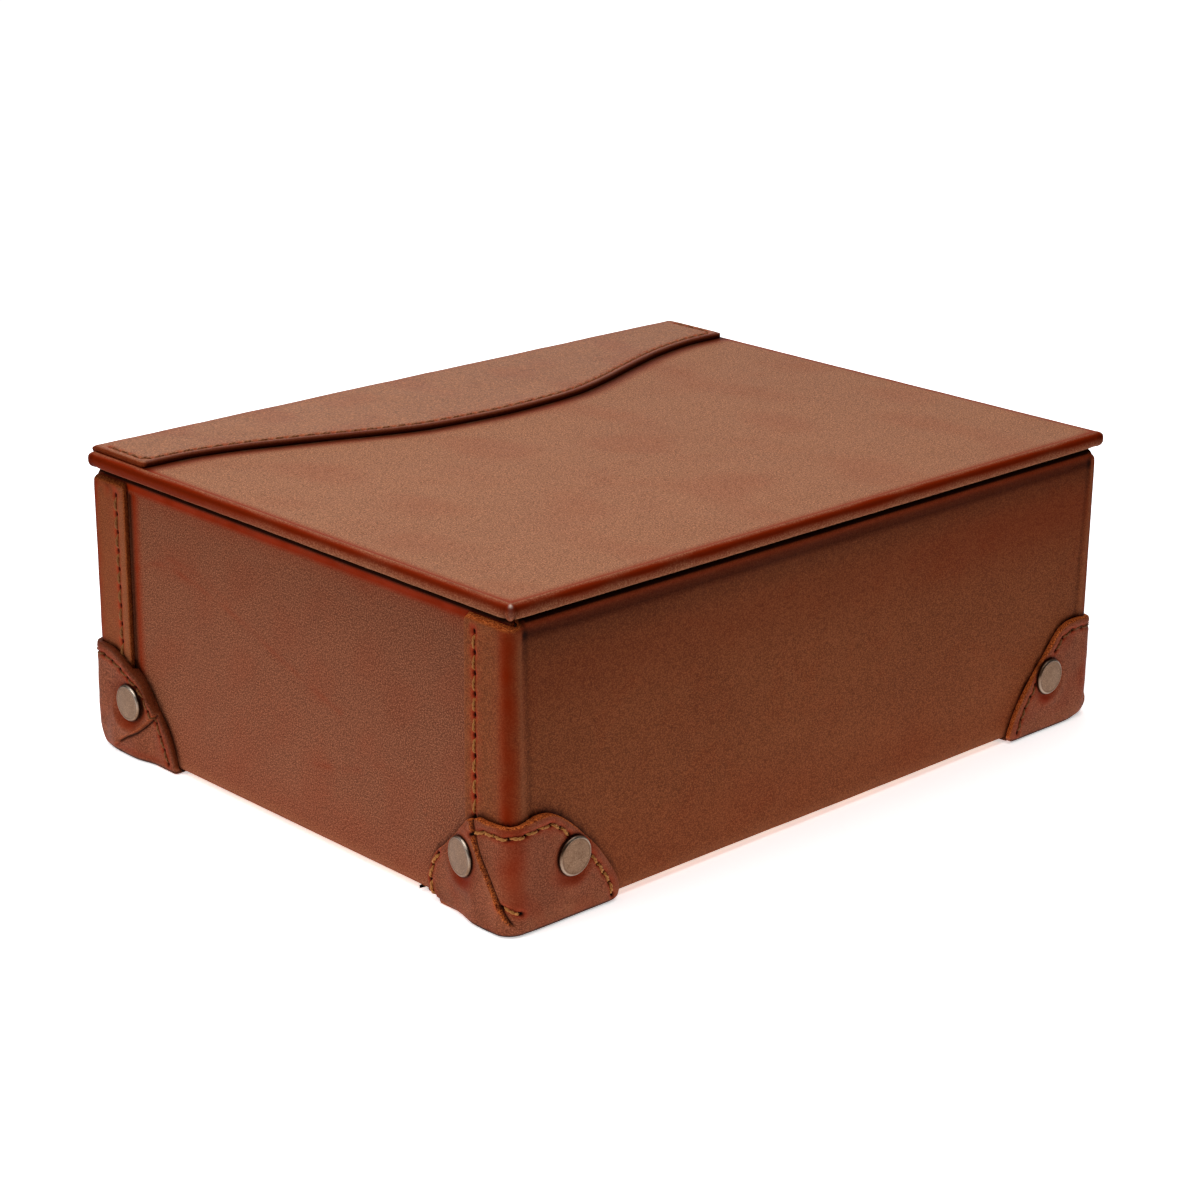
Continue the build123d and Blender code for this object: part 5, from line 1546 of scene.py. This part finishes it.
# ----------------------------------------------------------------------- rivets
def rivet_caps():
    bag = Bag()
    prof = [(0.0, -0.02), (5.60, -0.02), (5.80, 0.08), (5.86, 0.28), (5.85, 0.55), (5.74, 0.78), (5.45, 1.03), (5.30, 1.115), (5.12, 1.13), (4.95, 1.10),
            (4.6, 1.09), (3.5, 1.135), (2.0, 1.17), (0.9, 1.182), (0.0, 1.185)]
    S = 72
    places = []
    for sx in (-1, 1):
        for sy in (-1, 1):
            places.append(((sx * (HX - RIV_F), sy * (HY + 1.9), RIV_Z), (0, sy, 0)))
            lean = 0.0 if (sx < 0 and sy > 0) else math.atan(TILT)
            places.append(((sx * (HX + 1.9 - 0.35 * (lean > 0)), sy * (HY - RIV_S), RIV_Z), (sx * math.cos(lean), -sy * math.sin(lean), 0)))
    rng = np.random.default_rng(5)
    for k, (c, nn) in enumerate(places):
        c, nn = np.array(c, float), np.array(nn, float)
        up = np.array([0, 0, 1.0])
        t = np.cross(up, nn)
        tilt = rng.uniform(-0.012, 0.012, 2)
        turn = rng.uniform(0, 2 * np.pi)
        co, pat, dk, sh = [], [], [], []
        for r, h in prof:
            if r == 0:
                co.append(c + nn * h)
                pat.append((0, 0, 11 * k))
                dk.append(0.0)
                sh.append(0.0)
                continue
            for a in 2 * np.pi * np.arange(S) / S:
                x, y = r * math.cos(a), r * math.sin(a)
                hh = h + tilt[0] * x * 0.3 + tilt[1] * y * 0.3 * (h > 0.2)
                co.append(c + t * x + up * y + nn * hh)
                pat.append((r * math.cos(a + turn), r * math.sin(a + turn), 11 * k + h))
                # painted shade at the cap's foot and in the groove inside the rim, and a painted highlight on the
                # bevel, brighter towards one side
                dk.append(0.9 if h < 0.3 else 0.6 if h < 0.6 else (0.30 if abs(r - 4.95) < 0.05 else 0.0))
                sh.append((0.9 if abs(r - 5.45) < 0.05 else 0.45 if abs(r - 5.74) < 0.05 or abs(r - 5.30) < 0.05 else 0.0)
                          * (max(math.cos(a - 1.0), 0) ** 2 + 0.4 * max(-math.cos(a - 1.0), 0) ** 2))
        ring = lambda q: 1 + q * S + np.arange(S)
        faces = []
        nr = len(prof) - 2
        i0 = ring(0)
        faces.append(np.stack([np.zeros(S, int), np.roll(i0, -1), i0], 1))
        for q in range(nr - 1):
            a, b = ring(q), ring(q + 1)
            faces.append(np.stack([a, np.roll(a, -1), np.roll(b, -1), b], 1))
        last = len(co) - 1
        i1 = ring(nr - 1)
        faces.append(np.stack([i1, np.roll(i1, -1), np.full(S, last)], 1))
        # t, up, normal are right-handed: cross(t, up) = nn
        bag.add(np.array(co), faces, {"pat": np.array(pat), "dark": np.array(dk), "shine": np.array(sh)})
    ob = bag.obj("rivet_caps", mat_metal)
    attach(ob, "box")
    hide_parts("rivets")


rivet_caps()


# --------------------------------------------------------------- lining and pad
def flat_panel(name, node, body, material, outline, origin, eu, ev, thick, seed, rt=0.3, grid=3.0, waviness=0.06, edge=0.25):
    """A thin panel: flat outline (u, v) on the plane at origin, spanned by eu and ev; its outer face is at the origin."""
    origin, eu, ev = (np.array(x, float) for x in (origin, eu, ev))
    nn = np.cross(eu, ev)

    def m(u, v):
        return origin + u[:, None] * eu + v[:, None] * ev, np.tile(nn, (len(u), 1)), np.full(len(u), thick)

    def d(u, v, e):
        return (waviness * waves(u, v, 40, seed) - waviness) * sstep(e, 0, 6) - edge * 0.3 * bell(e, 0, 1.2)

    def p(u, v, e):
        return {"dark": 0.5 * bell(e, 0, 1.6)}

    bag = Bag()
    leather_sheet(bag, outline, 1.8, m, d, p, rt=rt, bands=(0.9, 2.2), grid=grid, raw=lambda u, v: np.zeros(len(u)), seed=seed)
    ob = bag.obj(name, material)
    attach(ob, body)
    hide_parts(node)
    return ob


def rect(x0, y0, x1, y1, r=0.8):
    return rounded([(x0, y0), (x1, y0), (x1, y1), (x0, y1)], [r] * 4)


W0, W1 = 5.9, 76.0
flat_panel("base_lining_suede", "base_lining", "box", mat_suede, rect(-IX + 1.02, -IY + 1.02, IX - 1.02, IY - 1.02), (0, 0, W0 + 1.0), (1, 0, 0), (0, 1, 0), 1.0, 801)
flat_panel("front_lining_suede", "front_lining", "box", mat_suede, rect(-IX + 0.02, W0, IX - 0.02, W1), (0, -IY + 1.0, 0), (-1, 0, 0), (0, 0, 1), 1.0, 802)
flat_panel("back_lining_suede", "back_lining", "box", mat_suede, rect(-IX + 0.02, W0, IX - 0.02, W1), (0, IY - 1.0, 0), (1, 0, 0), (0, 0, 1), 1.0, 803)
flat_panel("left_lining_suede", "left_lining", "box", mat_suede, rect(-IY + 1.02, W0, IY - 1.02, W1), (-IX + 1.0, 0, 0), (0, 1, 0), (0, 0, 1), 1.0, 804)
flat_panel("right_lining_suede", "right_lining", "box", mat_suede, rect(-IY + 1.02, W0, IY - 1.02, W1), (IX - 1.0, 0, 0), (0, -1, 0), (0, 0, 1), 1.0, 805)
flat_panel("lid_lining_suede", "lid_lining", "lid", mat_suede, rect(-(LX - 13.2), -(LHY - 13.2) - LCY, LX - 13.2, (LHY - 13.2) - LCY), (0, 0, 90.72), (1, 0, 0), (0, -1, 0), 0.96, 806)

pr = 39.6
pad = []
for sx, sy in ((1, -1), (1, 1), (-1, 1), (-1, -1)):
    # where the guard's circle meets the pad's edges
    a = np.linspace(math.asin(0.3 / pr), math.acos(1.2 / pr), 26)
    arc = np.stack([sx * (HX - pr * np.cos(a)), sy * (HY - pr * np.sin(a))], 1)
    pad.append(arc[::-1] if sx * sy < 0 else arc)
pad = np.vstack(pad)
pad = pad * (1, -1)
if area2(pad) < 0:
    pad = pad[::-1]
flat_panel("base_pad_sheet", "base_pad", "box", mat_pad, pad, (0, 0, Z0 - 1.0), (1, 0, 0), (0, -1, 0), 1.0, 807, rt=0.25, grid=4.0)

# --------------------------------------------- CAD nodes that stay as they are
for nm in ("base_board", "front_wall_board", "back_wall_board", "left_wall_board", "right_wall_board", "lid_board"):
    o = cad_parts[nm]
    o.data.materials.clear()
    o.data.materials.append(mat_board)


def back_cap_material():
    M = Mat("inner_cap_metal")
    co = M.n("TexCoord").outputs["Object"]
    a = M.noise(M.coords(co, 1.0), 900, 4, 0.6)
    b = M.noise(M.coords(co, 1.0), 300, 3, 0.6)
    M.link(M.mix(M.ramp(a, 0.35, 0.7), srgb(146, 134, 118), srgb(176, 164, 146)), socket(M.b, "Base Color"))
    M.val("Metallic", 1.0)
    M.link(M.ramp(b, 0.3, 0.7, 0.3, 0.5), socket(M.b, "Roughness"))
    M.link(M.bump(a, 0.2, 0.00005), socket(M.b, "Normal"))
    return M.m


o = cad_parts["rivet_back_caps"]
o.data.materials.clear()
o.data.materials.append(back_cap_material())

# ------------------------------------------------------------------------ stage
def floor():
    M = Mat("floor_paper")
    co = M.n("TexCoord").outputs["Object"]
    a = M.noise(M.coords(co, 1.0), 6, 3, 0.5)
    M.link(M.mix(M.ramp(a, 0.3, 0.7), (0.87, 0.87, 0.87), (0.90, 0.90, 0.90)), socket(M.b, "Base Color"))
    M.val("Roughness", 0.9)
    M.val("Specular IOR Level", 0.1)
    # the paper is lit from below round the box, and burns out to white further off
    dist = M.n("VectorMath", operation="LENGTH")
    M.link(co, dist.inputs[0])
    M.link(M.ramp(dist.outputs["Value"], 0.16, 0.34, 0.82, 0.0), socket(M.b, "Emission Strength"))
    M.val("Emission Color", (1, 1, 1, 1))
    seen = M.n("BsdfDiffuse")
    seen.inputs["Color"].default_value = (1.45, 1.45, 1.45, 1)
    far = M.n("Emission")
    M.link(M.ramp(dist.outputs["Value"], 0.13, 0.40, 0.52, 0.9), far.inputs["Strength"])
    both = M.n("AddShader")
    M.link(seen.outputs[0], both.inputs[0])
    M.link(far.outputs[0], both.inputs[1])
    mx, lp = M.n("MixShader"), M.n("LightPath")
    M.link(lp.outputs["Is Camera Ray"], mx.inputs[0])
    M.link(M.b.outputs[0], mx.inputs[1])
    M.link(both.outputs[0], mx.inputs[2])
    M.link(mx.outputs[0], M.out.inputs[0])
    me = bpy.data.meshes.new("floor")
    n, R = 96, 6.0
    ring = [(R * math.cos(2 * math.pi * i / n), R * math.sin(2 * math.pi * i / n), 0.0) for i in range(n)]
    me.from_pydata(ring, [], [tuple(range(n))])
    me.materials.append(M.m)
    ob = bpy.data.objects.new("floor", me)
    SCENE.collection.objects.link(ob)


floor()

# ----------------------------------------------------------------------- camera
CAM_LOC = (-0.59194, -0.61921, 0.33849)
AZ, EL, ROLL = (math.radians(x) for x in (-43.670, 19.030, 0.561))
back = Vector((math.sin(AZ) * math.cos(EL), -math.cos(AZ) * math.cos(EL), math.sin(EL)))
right = (-back).cross(Vector((0, 0, 1))).normalized()
up = right.cross(-back)
c, s = math.cos(ROLL), math.sin(ROLL)
right2, up2 = c * right + s * up, -s * right + c * up
cam_data = bpy.data.cameras.new("camera")
cam_data.sensor_width = 36.0
cam_data.lens = 36.0 * 2862.2 / 1200.0
cam_data.clip_start, cam_data.clip_end = 0.02, 30.0
cam = bpy.data.objects.new("camera", cam_data)
rot = Matrix((right2, up2, back)).transposed()
cam.matrix_world = Matrix.Translation(Vector(CAM_LOC)) @ rot.to_4x4()
SCENE.collection.objects.link(cam)
SCENE.camera = cam


# ------------------------------------------------------------------------ light
def area(name, loc, target, size, power, colour=(1, 1, 1)):
    d = bpy.data.lights.new(name, "AREA")
    d.shape = "RECTANGLE"
    d.size, d.size_y = size
    d.energy = power
    d.color = colour
    o = bpy.data.objects.new(name, d)
    o.location = loc
    v = Vector(target) - Vector(loc)
    o.rotation_euler = v.to_track_quat("-Z", "Y").to_euler()
    SCENE.collection.objects.link(o)
    return o


area("soft_top", (0.0, 0.0, 0.75), (0, 0, 0.05), (0.7, 0.6), 2.2)
area("soft_front", (0.0, -0.35, 0.80), (0, 0, 0.05), (0.7, 0.4), 0.85)
area("soft_left", (-0.60, 0.10, 0.60), (0, 0, 0.05), (0.5, 0.5), 2.25)
area("soft_back", (0.20, 0.80, 0.70), (0, 0, 0.05), (0.9, 0.5), 1.6)

world = bpy.data.worlds.new("studio")
SCENE.world = world
world.use_nodes = True
wt = world.node_tree
wt.nodes.clear()
w_out = wt.nodes.new("ShaderNodeOutputWorld")
w_mix = wt.nodes.new("ShaderNodeMixShader")
w_lp = wt.nodes.new("ShaderNodeLightPath")
w_cam = wt.nodes.new("ShaderNodeBackground")
w_cam.inputs[0].default_value = (1, 1, 1, 1)
w_cam.inputs[1].default_value = 1.05
w_lit = wt.nodes.new("ShaderNodeBackground")
w_lit.inputs[0].default_value = (1, 1, 1, 1)
# one broad pale wall behind and to the right; the rest of the studio is dark
w_tc = wt.nodes.new("ShaderNodeTexCoord")
w_dot = wt.nodes.new("ShaderNodeVectorMath")
w_dot.operation = "DOT_PRODUCT"
w_dot.inputs[1].default_value = tuple(Vector((0.6527, 0.6838, 0.33)).normalized())
w_max = wt.nodes.new("ShaderNodeMath")
w_max.operation = "MAXIMUM"
w_max.inputs[1].default_value = 0.0
w_pow = wt.nodes.new("ShaderNodeMath")
w_pow.operation = "POWER"
w_pow.inputs[1].default_value = 8.0
w_mul = wt.nodes.new("ShaderNodeMath")
w_mul.operation = "MULTIPLY"
w_mul.inputs[1].default_value = 1.26
wt.links.new(w_tc.outputs["Generated"], w_dot.inputs[0])
wt.links.new(w_dot.outputs["Value"], w_max.inputs[0])
wt.links.new(w_max.outputs[0], w_pow.inputs[0])
wt.links.new(w_pow.outputs[0], w_mul.inputs[0])
wt.links.new(w_mul.outputs[0], w_lit.inputs[1])
wt.links.new(w_lp.outputs["Is Camera Ray"], w_mix.inputs[0])
wt.links.new(w_lit.outputs[0], w_mix.inputs[1])
wt.links.new(w_cam.outputs[0], w_mix.inputs[2])
wt.links.new(w_mix.outputs[0], w_out.inputs[0])

SCENE.view_settings.view_transform = "Standard"
SCENE.view_settings.look = "None"
SCENE.view_settings.exposure = 0.0
SCENE.view_settings.gamma = 1.0
